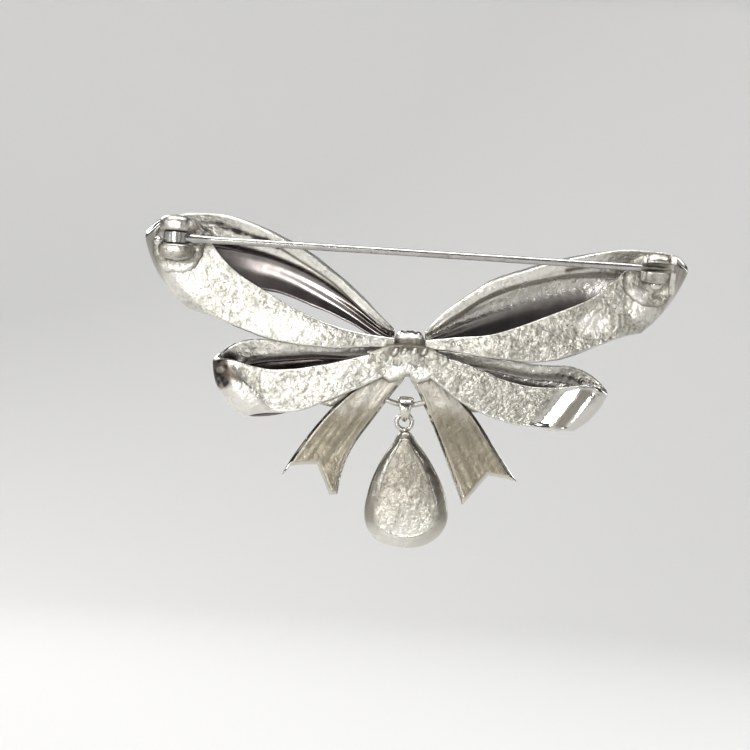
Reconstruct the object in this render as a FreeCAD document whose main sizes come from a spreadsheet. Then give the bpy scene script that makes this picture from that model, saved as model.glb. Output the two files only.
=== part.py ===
import FreeCAD, Part
import os, math
import Sketcher
from FreeCAD import Vector as V, Placement, Rotation

# Ribbon-bow brooch with a hanging drop, silver-plated.
# Row frame, millimetres: origin on the pin stem's axis, half way along its straight shaft.
# X runs along the pin stem (the hinge is at +X, the catch at -X), +Y is the back that lies
# on the garment's side, -Y is the polished front, +Z is up as it is worn.
#
# The bow is made the way a ribbon is tied: four loops and two tails, each a bent strip,
# brazed to the sides of a wrapped knot. The finding on the back is a round pad with a
# two-eared bracket, a rivet and a pin stem on the hinge side, and a round pad with a C shaped
# catch and a turning safety sleeve on the other. The drop hangs by a strap bail from a
# wire bridging the tails.

doc = FreeCAD.newDocument("bow_brooch")

# ---------------------------------------------------------------- driving dimensions
sheet = doc.addObject("Spreadsheet::Sheet", "dims")
DIMS = [
    ("stem_stand_off", 2.6, "pin axis behind the flat of the bow's back"),
    ("stem_height", 9.2, "pin axis above the knot's reference line"),
    ("wire_radius", 0.4, "pin stem wire"),
    ("root_radius", 0.58, "swaged root of the pin stem, at its eye"),
    ("shaft_start", 3.7, "from rivet to start of the straight shaft"),
    ("shaft_length", 45.0, "straight cylindrical shaft"),
    ("stem_length", 54.1, "rivet to point"),
    ("eye_radius", 1.3, "flattened eye of the stem"),
    ("eye_thickness", 1.1, "flattened eye of the stem"),
    ("hinge_x", 26.2, "rivet axis"),
    ("rivet_radius", 0.4, "rivet shank"),
    ("rivet_clearance", 0.03, "running clearance of the eye on the rivet"),
    ("ear_gap", 1.24, "between the bracket's ears"),
    ("ear_thickness", 1.1, "each ear"),
    ("ear_radius", 1.6, "rounded top of each ear"),
    ("web_top", 1.5, "rivet axis to the bracket's floor"),
    ("hinge_pad_radius", 2.85, "round solder pad"),
    ("catch_pad_radius", 2.85, "round solder pad"),
    ("pad_thickness", 0.55, "both pads"),
    ("pad_sink", 0.12, "pad let into the solder"),
    ("catch_x0", 25.0, "inner end of the catch housing"),
    ("catch_length", 2.6, "catch housing along the stem"),
    ("catch_outer_radius", 1.65, "catch housing"),
    ("catch_bore_radius", 1.13, "catch housing"),
    ("catch_slot", 1.2, "mouth of the housing"),
    ("sleeve_radius", 1.10, "safety sleeve outside"),
    ("sleeve_bore_radius", 0.68, "safety sleeve inside"),
    ("sleeve_slot", 1.0, "mouth of the sleeve"),
    ("flange_radius", 1.55, "thumb flange of the sleeve"),
    ("tab_reach", 2.7, "thumb tab from the sleeve's axis"),
    ("ribbon_thickness", 0.8, "loops"),
    ("tail_thickness", 1.1, "tails"),
    ("knot_width", 3.4, "wrapped knot across the bow"),
    ("bar_radius", 0.3, "hanger wire"),
    ("bar_bend_radius", 5.5, "droop of the hanger wire"),
    ("bar_angle", 56.0, "arc of the hanger wire, degrees"),
    ("bail_height", 1.15, "bail, half height of the strap's middle line"),
    ("bail_depth", 0.95, "bail, half depth of the strap's middle line"),
    ("bail_thickness", 0.6, "bail strap at its top"),
    ("bail_bottom_thickness", 0.5, "bail strap at the drop's eye"),
    ("bail_top_width", 1.8, "bail strap at its top"),
    ("bail_bottom_width", 0.56, "bail strap at the drop's eye"),
    ("drop_eye_radius", 0.85, "middle line of the drop's cast eye"),
    ("drop_eye_wire", 0.3, "round section of the drop's cast eye"),
]
for i, (alias, value, note) in enumerate(DIMS, start=1):
    sheet.set("A%d" % i, "'" + note)
    sheet.set("B%d" % i, str(value))
    sheet.setAlias("B%d" % i, alias)
doc.recompute()


def dim(alias):
    return float(sheet.get(alias))


PY, PZ = dim("stem_stand_off"), dim("stem_height")


def row(p):
    """Design point (across, up, depth) to the row frame. Across is measured on the bow's back, left to right."""
    return V(-p[0], p[2] - PY, p[1] - PZ)


# ---------------------------------------------------------------- helpers for bodies
def new_body(name):
    b = doc.addObject("PartDesign::Body", name)
    b.Label = name
    return b


def origin_plane(body, role):
    return [f for f in body.Origin.OriginFeatures if f.Role == role][0]


def new_sketch(body, name, role):
    sk = body.newObject("Sketcher::SketchObject", name)
    sk.AttachmentSupport = [(origin_plane(body, role), "")]
    sk.MapMode = "FlatFace"
    return sk


def circle(sk, radius, expression, x=0.0, y=0.0):
    g = sk.addGeometry(Part.Circle(V(x, y, 0), V(0, 0, 1), radius), False)
    if x == 0 and y == 0:
        sk.addConstraint(Sketcher.Constraint("Coincident", g, 3, -1, 1))
    else:
        sk.addConstraint(Sketcher.Constraint("DistanceX", -1, 1, g, 3, x))
        sk.addConstraint(Sketcher.Constraint("DistanceY", -1, 1, g, 3, y))
    c = sk.addConstraint(Sketcher.Constraint("Radius", g, radius))
    sk.setExpression("Constraints[%d]" % c, expression)
    return g


def polygon(sk, points):
    """points are (x, y) or (x, y, x expression, y expression); each corner is held to the sketch's origin."""
    n = len(points)
    first = None
    for k in range(n):
        a, b = points[k], points[(k + 1) % n]
        g = sk.addGeometry(Part.LineSegment(V(a[0], a[1], 0), V(b[0], b[1], 0)), False)
        first = g if first is None else first
    for k in range(n):
        sk.addConstraint(Sketcher.Constraint("Coincident", first + k, 2, first + (k + 1) % n, 1))
    for k, p in enumerate(points):
        g = first + k
        for value, kind, axis, expression in (
            (p[0], "DistanceX", -2, p[2] if len(p) > 2 else None),
            (p[1], "DistanceY", -1, p[3] if len(p) > 3 else None),
        ):
            if abs(value) < 1e-9:
                sk.addConstraint(Sketcher.Constraint("PointOnObject", g, 1, axis))
            else:
                c = sk.addConstraint(Sketcher.Constraint(kind, -1, 1, g, 1, value))
                if expression:
                    sk.setExpression("Constraints[%d]" % c, expression)


def pad(body, name, sk, length, expression=None, midplane=False, reverse=False):
    f = body.newObject("PartDesign::Pad", name)
    f.Profile = sk
    f.Length = length
    if expression:
        f.setExpression("Length", expression)
    f.Midplane = midplane
    f.Reversed = reverse
    body.Tip = f
    return f


def pocket(body, name, sk, length, midplane=True):
    doc.recompute()
    before = body.Shape.Volume
    f = body.newObject("PartDesign::Pocket", name)
    f.Profile = sk
    f.Length = length
    f.Midplane = midplane
    body.Tip = f
    doc.recompute()
    if body.Shape.Volume >= before - 1e-6:
        raise RuntimeError(name + " cut nothing")
    return f


def revolve(body, name, sk, axis):
    f = body.newObject("PartDesign::Revolution", name)
    f.Profile = sk
    f.ReferenceAxis = (sk, [axis])
    f.Angle = 360.0
    body.Tip = f
    return f


def edges_where(shape, test):
    return ["Edge%d" % (i + 1) for i, e in enumerate(shape.Edges) if test(e)]


def fillet(body, name, radius, test):
    doc.recompute()
    tip = body.Tip
    names = edges_where(tip.Shape, test)
    if not names:
        raise RuntimeError(name + " found no edge")
    f = body.newObject("PartDesign::Fillet", name)
    f.Base = (tip, names)
    f.Radius = radius
    body.Tip = f
    doc.recompute()
    return f


def place(obj, x, y, z, rotation=None, ex=None, ey=None, ez=None):
    obj.Placement = Placement(V(x, y, z), rotation or Rotation())
    for axis, expression in (("x", ex), ("y", ey), ("z", ez)):
        if expression:
            obj.setExpression("Placement.Base." + axis, expression)


TO_BACK = Rotation(V(1, 0, 0), -90)  # local +Z becomes the row's +Y
TO_X = Rotation(V(0, 1, 0), 90)  # local +Z becomes the row's +X, local +Y stays +Y

nodes = []

# ---------------------------------------------------------------- solder pads
for name, radius, px, pz in (
    ("hinge_pad", "hinge_pad_radius", 26.0, 8.4),
    ("catch_pad", "catch_pad_radius", -25.9, 8.0),
):
    b = new_body(name)
    sk = new_sketch(b, name + "_outline", "XY_Plane")
    circle(sk, dim(radius), "dims." + radius)
    pad(b, name + "_disc", sk, dim("pad_thickness"), "dims.pad_thickness")
    fillet(b, name + "_edge", 0.16, lambda e: abs(e.BoundBox.ZMin - dim("pad_thickness")) < 1e-6)
    place(b, px, -PY - dim("pad_sink"), pz - PZ, TO_BACK, ey="-dims.stem_stand_off - dims.pad_sink", ez="%g - dims.stem_height" % pz)
    nodes.append(b)
PAD_TOP = -PY - dim("pad_sink") + dim("pad_thickness")

# ---------------------------------------------------------------- hinge bracket: floor and two rounded ears
b = new_body("hinge_bracket")
half = dim("ear_gap") / 2 + dim("ear_thickness")
sk = new_sketch(b, "bracket_profile", "XY_Plane")
r = dim("ear_radius")
arc = sk.addGeometry(Part.ArcOfCircle(Part.Circle(V(0, 0, 0), V(0, 0, 1), r), 0, math.pi), False)
left = sk.addGeometry(Part.LineSegment(V(-r, 0, 0), V(-r, PAD_TOP, 0)), False)
foot = sk.addGeometry(Part.LineSegment(V(-r, PAD_TOP, 0), V(r, PAD_TOP, 0)), False)
right = sk.addGeometry(Part.LineSegment(V(r, PAD_TOP, 0), V(r, 0, 0)), False)
sk.addConstraint(Sketcher.Constraint("Coincident", arc, 3, -1, 1))
sk.addConstraint(Sketcher.Constraint("Coincident", arc, 2, left, 1))
sk.addConstraint(Sketcher.Constraint("Coincident", left, 2, foot, 1))
sk.addConstraint(Sketcher.Constraint("Coincident", foot, 2, right, 1))
sk.addConstraint(Sketcher.Constraint("Coincident", right, 2, arc, 1))
sk.addConstraint(Sketcher.Constraint("Vertical", left))
sk.addConstraint(Sketcher.Constraint("Vertical", right))
sk.addConstraint(Sketcher.Constraint("Horizontal", foot))
sk.addConstraint(Sketcher.Constraint("PointOnObject", arc, 2, -1))
c = sk.addConstraint(Sketcher.Constraint("Radius", arc, r))
sk.setExpression("Constraints[%d]" % c, "dims.ear_radius")
c = sk.addConstraint(Sketcher.Constraint("DistanceY", foot, 1, -1, 1, -PAD_TOP))
sk.setExpression("Constraints[%d]" % c, "dims.stem_stand_off + dims.pad_sink - dims.pad_thickness")
pad(b, "bracket_block", sk, 2 * half, "dims.ear_gap + 2*dims.ear_thickness", midplane=True)
sk = new_sketch(b, "bracket_gap", "XY_Plane")
w = dim("web_top")
polygon(sk, [(-3, -w, None, "-dims.web_top"), (3, -w, None, "-dims.web_top"), (3, 3), (-3, 3)])
f = pocket(b, "gap_cut", sk, dim("ear_gap"))
f.setExpression("Length", "dims.ear_gap")
sk = new_sketch(b, "bracket_rivet_hole", "XY_Plane")
circle(sk, dim("rivet_radius"), "dims.rivet_radius")
pocket(b, "rivet_hole", sk, 3 * half)
fillet(b, "ear_rounding", 0.45, lambda e: abs(abs(e.BoundBox.ZMin) - half) < 1e-6 and abs(e.BoundBox.ZMin - e.BoundBox.ZMax) < 1e-6 and e.BoundBox.YMax > 0.9 and e.BoundBox.XLength > 1.5)
place(b, dim("hinge_x"), 0, 0, ex="dims.hinge_x")
nodes.append(b)

# ---------------------------------------------------------------- rivet with two domed heads
b = new_body("hinge_rivet")
sk = new_sketch(b, "rivet_profile", "XZ_Plane")
rr = dim("rivet_radius")
er = "dims.rivet_radius"
eh = "dims.ear_gap/2 + dims.ear_thickness"
polygon(sk, [
    (0, -half - 0.42), (0.45, -half - 0.42), (0.78, -half - 0.24), (0.88, -half, None, "-(" + eh + ")"),
    (rr, -half, er, "-(" + eh + ")"), (rr, half, er, eh), (0.88, half, None, eh),
    (0.78, half + 0.24), (0.45, half + 0.42), (0, half + 0.42),
])
revolve(b, "rivet_turned", sk, "V_Axis")
place(b, dim("hinge_x"), 0, 0, ex="dims.hinge_x")
nodes.append(b)

# ---------------------------------------------------------------- pin stem: flattened eye, root, straight shaft, point
b = new_body("pin_stem")
sk = new_sketch(b, "eye_outline", "XY_Plane")
circle(sk, dim("eye_radius"), "dims.eye_radius")
pad(b, "eye_disc", sk, dim("eye_thickness"), "dims.eye_thickness", midplane=True)
sk = new_sketch(b, "stem_profile", "XY_Plane")
s0, s1, s2 = dim("shaft_start"), dim("shaft_start") + dim("shaft_length"), dim("stem_length")
wr, cr = dim("wire_radius"), dim("root_radius")
ew, e1 = "dims.wire_radius", "dims.shaft_start + dims.shaft_length"
polygon(sk, [
    (0.9, 0), (0.9, cr, None, "dims.root_radius"), (s0, wr, "dims.shaft_start", ew), (s1, wr, e1, ew), (s2 - 0.9, 0.25, "dims.stem_length - 0.9", None),
    (s2, 0.04, "dims.stem_length", None), (s2, 0, "dims.stem_length", None),
])
revolve(b, "stem_turned", sk, "H_Axis")
sk = new_sketch(b, "eye_hole", "XY_Plane")
circle(sk, dim("rivet_radius") + dim("rivet_clearance"), "dims.rivet_radius + dims.rivet_clearance")
pocket(b, "eye_bore", sk, 4.0)
place(b, dim("hinge_x"), 0, 0, Rotation(V(0, 1, 0), 180), ex="dims.hinge_x")
nodes.append(b)

# ---------------------------------------------------------------- catch housing: C section on a foot
b = new_body("catch_housing")
sk = new_sketch(b, "housing_ring", "XY_Plane")
circle(sk, dim("catch_outer_radius"), "dims.catch_outer_radius")
circle(sk, dim("catch_bore_radius"), "dims.catch_bore_radius")
pad(b, "housing_tube", sk, dim("catch_length"), "dims.catch_length")
sk = new_sketch(b, "housing_foot", "XY_Plane")
ef = "-dims.stem_stand_off - dims.pad_sink + dims.pad_thickness"
polygon(sk, [(-1.0, PAD_TOP, None, ef), (1.0, PAD_TOP, None, ef), (1.0, -1.2), (-1.0, -1.2)])
pad(b, "housing_foot_pad", sk, dim("catch_length"), "dims.catch_length")
sk = new_sketch(b, "housing_mouth", "XY_Plane")
hs = dim("catch_slot") / 2
polygon(sk, [(-hs, 0, "-dims.catch_slot/2", None), (hs, 0, "dims.catch_slot/2", None), (hs, 2.5, "dims.catch_slot/2", None), (-hs, 2.5, "-dims.catch_slot/2", None)])
pocket(b, "mouth_cut", sk, 12.0)
place(b, -dim("catch_x0") - dim("catch_length"), 0, 0, TO_X, ex="-dims.catch_x0 - dims.catch_length")
nodes.append(b)

# ---------------------------------------------------------------- turning safety sleeve with thumb flange and tab
b = new_body("catch_sleeve")
sk = new_sketch(b, "flange_ring", "XY_Plane")
circle(sk, dim("flange_radius"), "dims.flange_radius")
circle(sk, dim("sleeve_bore_radius"), "dims.sleeve_bore_radius")
pad(b, "flange", sk, 0.55, reverse=True)
sk = new_sketch(b, "sleeve_ring", "XY_Plane")
circle(sk, dim("sleeve_radius"), "dims.sleeve_radius")
circle(sk, dim("sleeve_bore_radius"), "dims.sleeve_bore_radius")
pad(b, "sleeve_tube", sk, dim("catch_length") + 0.34, "dims.catch_length + 0.34")
sk = new_sketch(b, "lip_ring", "XY_Plane")
sk.AttachmentOffset = Placement(V(0, 0, dim("catch_length") + 0.1), Rotation())
sk.setExpression("AttachmentOffset.Base.z", "dims.catch_length + 0.1")
circle(sk, 1.36, "dims.sleeve_radius + 0.26")
circle(sk, dim("sleeve_bore_radius"), "dims.sleeve_bore_radius")
pad(b, "lip", sk, 0.24)
sk = new_sketch(b, "thumb_tab", "XY_Plane")
tr = dim("tab_reach")
a = math.radians(10.0)  # the tab points down the bow and a little away from it


pts = [(1.15, -0.62), (tr - 0.25, -0.5), (tr, -0.25), (tr, 0.25), (tr - 0.25, 0.5), (1.15, 0.62)]
polygon(sk, [(x * math.cos(a) - y * math.sin(a), x * math.sin(a) + y * math.cos(a)) for x, y in pts])
pad(b, "tab", sk, 0.55, reverse=True)
sk = new_sketch(b, "sleeve_mouth", "XY_Plane")
hs = dim("sleeve_slot") / 2
polygon(sk, [(-hs, 0, "-dims.sleeve_slot/2", None), (hs, 0, "dims.sleeve_slot/2", None), (hs, 3.0, "dims.sleeve_slot/2", None), (-hs, 3.0, "-dims.sleeve_slot/2", None)])
pocket(b, "sleeve_mouth_cut", sk, 12.0)
place(b, -dim("catch_x0") - dim("catch_length") - 0.05, 0, 0, TO_X, ex="-dims.catch_x0 - dims.catch_length - 0.05")
nodes.append(b)

# ---------------------------------------------------------------- hanger wire between the tails, strap bail
bar = doc.addObject("Part::Torus", "hanger_bar")
bar.Label = "hanger_bar"
bar.Radius1, bar.Radius2, bar.Angle3 = dim("bar_bend_radius"), dim("bar_radius"), dim("bar_angle")
bar.setExpression("Radius1", "dims.bar_bend_radius")
bar.setExpression("Radius2", "dims.bar_radius")
bar.setExpression("Angle3", "dims.bar_angle")
BAR_DEPTH = -1.6
BAR_V = -7.4
# torus axis to the row's Y, the arc's middle straight down
turn = Rotation(V(1, 0, 0), -90).multiply(Rotation(V(0, 0, 1), 90 - dim("bar_angle") / 2))
bar.Placement = Placement(row((0, BAR_V + dim("bar_bend_radius"), BAR_DEPTH)), turn)
nodes.append(bar)

RING_V = BAR_V + dim("bar_radius") + 0.04 + dim("bail_thickness") / 2 - dim("bail_height")


def bail_section(angle):
    """Rounded strap section of the bail at an angle from its top; the strap narrows towards the drop's eye."""
    hy, hz, th = dim("bail_depth"), dim("bail_height"), dim("bail_thickness") / 2
    c = row((0, RING_V, BAR_DEPTH)) + V(0, hy * math.sin(angle), hz * math.cos(angle))
    d = V(0, hy * math.cos(angle), -hz * math.sin(angle))
    d.normalize()
    nrm = d.cross(V(1, 0, 0))
    share = 0.5 + 0.5 * math.cos(angle)
    w = dim("bail_bottom_width") / 2 + (dim("bail_top_width") - dim("bail_bottom_width")) / 2 * share ** 0.8
    tt = dim("bail_bottom_thickness") / 2 + (th - dim("bail_bottom_thickness") / 2) * share
    pts = []
    for k in range(12):
        f = 2 * math.pi * k / 12
        cx, cy = math.cos(f), math.sin(f)
        pts.append(c + V(1, 0, 0) * (w * math.copysign(abs(cx) ** 0.75, cx)) + nrm * (tt * math.copysign(abs(cy) ** 0.75, cy)))
    curve = Part.BSplineCurve()
    curve.interpolate(Points=pts, PeriodicFlag=True)
    return Part.Wire([curve.toShape()])


halves = []
for start in (0, 1):
    halves.append(Part.makeLoft([bail_section(math.pi * (start + k / 8.0)) for k in range(9)], True, False))
bail_shape = halves[0].fuse(halves[1]).removeSplitter()

# ---------------------------------------------------------------- wrapped knot
b = new_body("knot")
sk = new_sketch(b, "knot_side", "YZ_Plane")
prof = [
    (-0.25, -4.25), (-0.15, -3.0), (-0.2, -1.35), (-1.05, -1.15), (-1.15, -0.2), (-1.7, 0.55), (-2.5, 0.95), (-3.6, 0.85),
    (-4.5, 0.2), (-4.95, -0.8), (-5.0, -1.7), (-4.75, -2.7), (-4.1, -3.5), (-3.0, -4.0), (-1.4, -4.25),
]
polygon(sk, [(y - PY, v - PZ) for y, v in prof])
pad(b, "knot_block", sk, dim("knot_width"), "dims.knot_width", midplane=True)
fillet(b, "knot_rounding", 0.4, lambda e: abs(abs(e.BoundBox.XMin) - dim("knot_width") / 2) < 1e-6 and abs(e.BoundBox.XLength) < 1e-6 and e.BoundBox.YMax < -3.7 - 2.6 + PY - PY + 0.0 + 0.3)
nodes.append(b)
knot = b

# ---------------------------------------------------------------- ribbons
# Each strip is a row of stations along the ribbon. A station holds its upper edge point and
# its lower edge point (across, up, depth), the crown of the strip and the depth of the
# thick rim along the upper edge.
UPPER_HINGE = [
    ((-1.70, 0.90, -3.00), (-1.70, -0.85, -3.00), 0.05, 0.15),
    ((-3.20, 2.25, -3.10), (-3.30, -0.40, -3.15), 0.10, 0.70),
    ((-5.50, 4.40, -3.25), (-5.70, 0.75, -3.60), 0.25, 1.10),
    ((-8.60, 6.90, -3.40), (-8.80, 2.10, -4.05), 0.45, 1.45),
    ((-12.20, 9.15, -3.50), (-12.20, 3.40, -4.35), 0.60, 1.85),
    ((-16.00, 10.95, -3.60), (-15.60, 4.30, -4.45), 0.65, 2.10),
    ((-20.00, 12.15, -3.70), (-18.60, 4.30, -4.35), 0.65, 2.00),
    ((-23.80, 12.50, -3.80), (-21.00, 3.90, -4.00), 0.55, 1.30),
    ((-27.20, 12.00, -3.80), (-22.80, 3.20, -3.45), 0.55, 0.50),
    ((-29.20, 11.05, -3.20), (-23.90, 2.45, -2.80), 0.80, 0.0),
    ((-29.80, 10.00, -2.10), (-24.30, 1.95, -2.00), 1.00, 0.0),
    ((-29.40, 9.90, -1.10), (-24.00, 1.70, -1.25), 0.80, 0.0),
    ((-28.20, 10.90, -0.50), (-23.00, 1.30, -0.70), 0.30, 0.0),
    ((-26.30, 11.60, -0.42), (-21.00, 0.65, -0.48), 0.04, 0.0),
    ((-23.60, 10.20, -0.42), (-18.70, -0.20, -0.45), 0.0, 0.0),
    ((-20.60, 6.90, -0.42), (-15.90, -1.00, -0.45), 0.0, 0.0),
    ((-16.60, 4.35, -0.44), (-12.90, -1.50, -0.46), 0.05, 0.0),
    ((-12.40, 2.20, -0.50), (-9.80, -1.65, -0.52), 0.08, 0.0),
    ((-8.40, 0.85, -0.62), (-6.80, -1.60, -0.62), 0.08, 0.0),
    ((-4.80, 0.15, -0.85), (-4.10, -1.30, -0.85), 0.05, 0.0),
    ((-1.70, -0.10, -1.00), (-1.70, -1.28, -1.00), 0.0, 0.0),
]
UPPER_CATCH = [
    ((1.70, 0.90, -3.00), (1.70, -0.85, -3.00), 0.05, 0.15),
    ((3.10, 2.55, -3.10), (3.30, -0.55, -3.15), 0.10, 0.70),
    ((5.30, 4.60, -3.25), (5.90, 0.05, -3.60), 0.30, 1.10),
    ((8.30, 6.80, -3.40), (9.00, 0.85, -4.05), 0.50, 1.45),
    ((12.20, 8.55, -3.50), (12.60, 2.05, -4.35), 0.65, 1.85),
    ((16.20, 9.90, -3.60), (16.20, 3.20, -4.45), 0.65, 2.10),
    ((20.00, 10.90, -3.70), (19.40, 3.70, -4.35), 0.65, 2.00),
    ((23.80, 11.40, -3.80), (21.90, 3.60, -4.00), 0.55, 1.30),
    ((27.20, 11.30, -3.80), (23.70, 3.10, -3.45), 0.50, 0.50),
    ((29.50, 10.85, -3.20), (24.80, 2.75, -2.80), 0.55, 0.0),
    ((30.15, 9.95, -2.10), (25.20, 2.40, -2.00), 0.60, 0.0),
    ((29.80, 9.75, -1.10), (24.90, 2.15, -1.25), 0.50, 0.0),
    ((28.60, 10.40, -0.50), (23.80, 1.70, -0.70), 0.22, 0.0),
    ((26.70, 10.85, -0.42), (21.90, 0.90, -0.48), 0.03, 0.0),
    ((23.80, 9.50, -0.42), (19.70, -0.10, -0.45), 0.0, 0.0),
    ((21.00, 6.60, -0.42), (16.90, -1.20, -0.45), 0.0, 0.0),
    ((17.40, 4.50, -0.44), (13.80, -1.85, -0.46), 0.05, 0.0),
    ((13.40, 2.70, -0.50), (10.20, -1.80, -0.52), 0.08, 0.0),
    ((9.20, 1.05, -0.62), (7.00, -1.50, -0.62), 0.08, 0.0),
    ((5.20, 0.40, -0.85), (4.30, -1.20, -0.85), 0.05, 0.0),
    ((1.70, -0.10, -1.00), (1.70, -1.28, -1.00), 0.0, 0.0),
]
LOWER_HINGE = [
    ((-1.70, -1.05, -3.05), (-1.70, -3.30, -3.05), 0.05, 0.10),
    ((-4.20, -1.10, -3.10), (-3.90, -4.40, -3.20), 0.15, 0.50),
    ((-7.50, -1.10, -3.15), (-6.80, -6.00, -3.50), 0.30, 0.80),
    ((-11.00, -1.00, -3.25), (-9.80, -7.60, -3.75), 0.45, 1.05),
    ((-14.50, -1.10, -3.30), (-12.60, -8.90, -3.75), 0.50, 1.15),
    ((-17.60, -1.25, -3.35), (-15.10, -9.60, -3.40), 0.55, 0.90),
    ((-20.00, -2.15, -3.10), (-16.70, -9.80, -2.80), 0.85, 0.25),
    ((-21.30, -3.40, -2.15), (-17.40, -9.70, -2.00), 1.10, 0.0),
    ((-21.00, -3.60, -1.10), (-17.00, -9.55, -1.20), 0.95, 0.0),
    ((-19.90, -3.55, -0.55), (-15.90, -9.35, -0.68), 0.38, 0.0),
    ((-18.10, -3.95, -0.44), (-13.90, -9.15, -0.48), 0.04, 0.0),
    ((-15.50, -4.45, -0.44), (-11.80, -8.80, -0.46), 0.0, 0.0),
    ((-12.60, -4.20, -0.45), (-9.60, -7.95, -0.46), 0.0, 0.0),
    ((-9.60, -3.60, -0.46), (-7.40, -6.90, -0.47), 0.0, 0.0),
    ((-6.60, -2.75, -0.48), (-4.90, -5.70, -0.49), 0.0, 0.0),
    ((-4.00, -2.05, -0.50), (-3.00, -4.60, -0.51), 0.0, 0.0),
    ((-1.70, -1.65, -0.52), (-1.70, -3.90, -0.52), 0.0, 0.0),
]
LOWER_CATCH = [
    ((1.70, -1.05, -3.05), (1.70, -3.30, -3.05), 0.05, 0.10),
    ((4.20, -1.15, -3.10), (3.90, -4.30, -3.20), 0.15, 0.50),
    ((7.60, -1.35, -3.15), (7.00, -5.80, -3.50), 0.30, 0.80),
    ((11.00, -1.60, -3.25), (10.00, -7.30, -3.75), 0.45, 1.05),
    ((14.50, -1.95, -3.30), (12.80, -8.50, -3.75), 0.50, 1.15),
    ((17.90, -1.95, -3.35), (15.30, -9.15, -3.40), 0.50, 0.90),
    ((20.70, -2.95, -3.10), (17.30, -9.25, -2.80), 0.55, 0.25),
    ((22.00, -4.20, -2.15), (18.50, -8.95, -2.00), 0.55, 0.0),
    ((21.80, -4.50, -1.10), (18.20, -8.95, -1.20), 0.45, 0.0),
    ((20.70, -4.05, -0.55), (17.10, -9.15, -0.68), 0.18, 0.0),
    ((18.80, -4.00, -0.44), (15.20, -9.10, -0.48), 0.0, 0.0),
    ((16.30, -4.40, -0.44), (12.90, -8.90, -0.46), 0.0, 0.0),
    ((13.20, -4.45, -0.45), (10.60, -8.45, -0.46), 0.0, 0.0),
    ((10.20, -3.75, -0.46), (8.20, -7.75, -0.47), 0.0, 0.0),
    ((7.40, -2.80, -0.48), (5.60, -6.40, -0.49), 0.0, 0.0),
    ((4.40, -2.05, -0.50), (3.40, -4.90, -0.51), 0.0, 0.0),
    ((1.70, -1.65, -0.52), (1.70, -3.90, -0.52), 0.0, 0.0),
]


def natural(ts, ys):
    """Natural cubic spline through (ts, ys); returns a function of t."""
    n = len(ts)
    h = [ts[i + 1] - ts[i] for i in range(n - 1)]
    low, up, rhs = [0.0] * n, [0.0] * n, [0.0] * n
    diag = [1.0] * n
    for i in range(1, n - 1):
        low[i], diag[i], up[i] = h[i - 1], 2 * (h[i - 1] + h[i]), h[i]
        rhs[i] = 6 * ((ys[i + 1] - ys[i]) / h[i] - (ys[i] - ys[i - 1]) / h[i - 1])
    for i in range(1, n):
        w = low[i] / diag[i - 1]
        diag[i] -= w * up[i - 1]
        rhs[i] -= w * rhs[i - 1]
    m = [0.0] * n
    m[-1] = rhs[-1] / diag[-1]
    for i in range(n - 2, -1, -1):
        m[i] = (rhs[i] - up[i] * m[i + 1]) / diag[i]

    def at(t):
        k = 0
        while k < n - 2 and t > ts[k + 1]:
            k += 1
        p, q = ts[k + 1] - t, t - ts[k]
        return (m[k] * p ** 3 + m[k + 1] * q ** 3) / (6 * h[k]) + (ys[k] / h[k] - m[k] * h[k] / 6) * p + (ys[k + 1] / h[k] - m[k + 1] * h[k] / 6) * q

    return at


def resample(stations, per):
    """Smooth the station table: per steps in each interval, with the direction of travel at each."""
    flat = [list(row(s[0])) + list(row(s[1])) + [s[2], s[3]] for s in stations]
    ts = [0.0]
    for p, q in zip(flat, flat[1:]):
        step = 0.5 * (math.dist(p[:3], q[:3]) + math.dist(p[3:6], q[3:6]))
        ts.append(ts[-1] + step)
    fs = [natural(ts, [f[i] for f in flat]) for i in range(8)]
    out = []
    for k in range(len(ts) - 1):
        for j in range(per):
            out.append(ts[k] + (ts[k + 1] - ts[k]) * j / per)
    out.append(ts[-1])
    rows = []
    e = 0.02
    for t in out:
        v = [f(t) for f in fs]
        lo, hi = max(t - e, 0.0), min(t + e, ts[-1])
        d = [fs[i](hi) + fs[i + 3](hi) - fs[i](lo) - fs[i + 3](lo) for i in range(3)]
        rows.append((V(*v[0:3]), V(*v[3:6]), v[6], max(v[7], 0.0), V(*d)))
    return rows


def section(a, b, tangent, thick, crown, rim):
    """Points across a ribbon, from edge b to edge a: its crowned outer side, and its inner side with a thick rim near edge a."""
    across = a - b
    n = tangent.cross(across)
    n.normalize()
    mid = (a + b) * 0.5

    def at(s, off):
        return mid + across * (0.5 * s) + n * (crown * (1 - s * s) + off)

    outer, inner = [], []
    for s, share in ((-1, 0.0), (-0.5, 0.0), (0, 0.0), (0.3, 0.05), (0.55, 0.6), (0.8, 1.0), (1, 1.0)):
        outer.append(at(s, thick / 2))
        inner.append(at(s, -thick / 2 - rim * share))
    return outer, inner


def knots(count, degree):
    """Clamped uniform knots for count poles."""
    mults = [degree + 1] + [1] * (count - degree - 1) + [degree + 1]
    return mults, [float(i) for i in range(len(mults))]


def patch(poles):
    """B-spline face on a grid of poles, cubic along a side with more than two."""
    nu, nv = len(poles), len(poles[0])
    du, dv = (3 if nu > 3 else 1), (3 if nv > 3 else 1)
    um, uk = knots(nu, du)
    vm, vk = knots(nv, dv)
    surface = Part.BSplineSurface()
    surface.buildFromPolesMultsKnots(poles, um, vm, uk, vk, False, False, du, dv)
    return surface.toShape()


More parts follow.
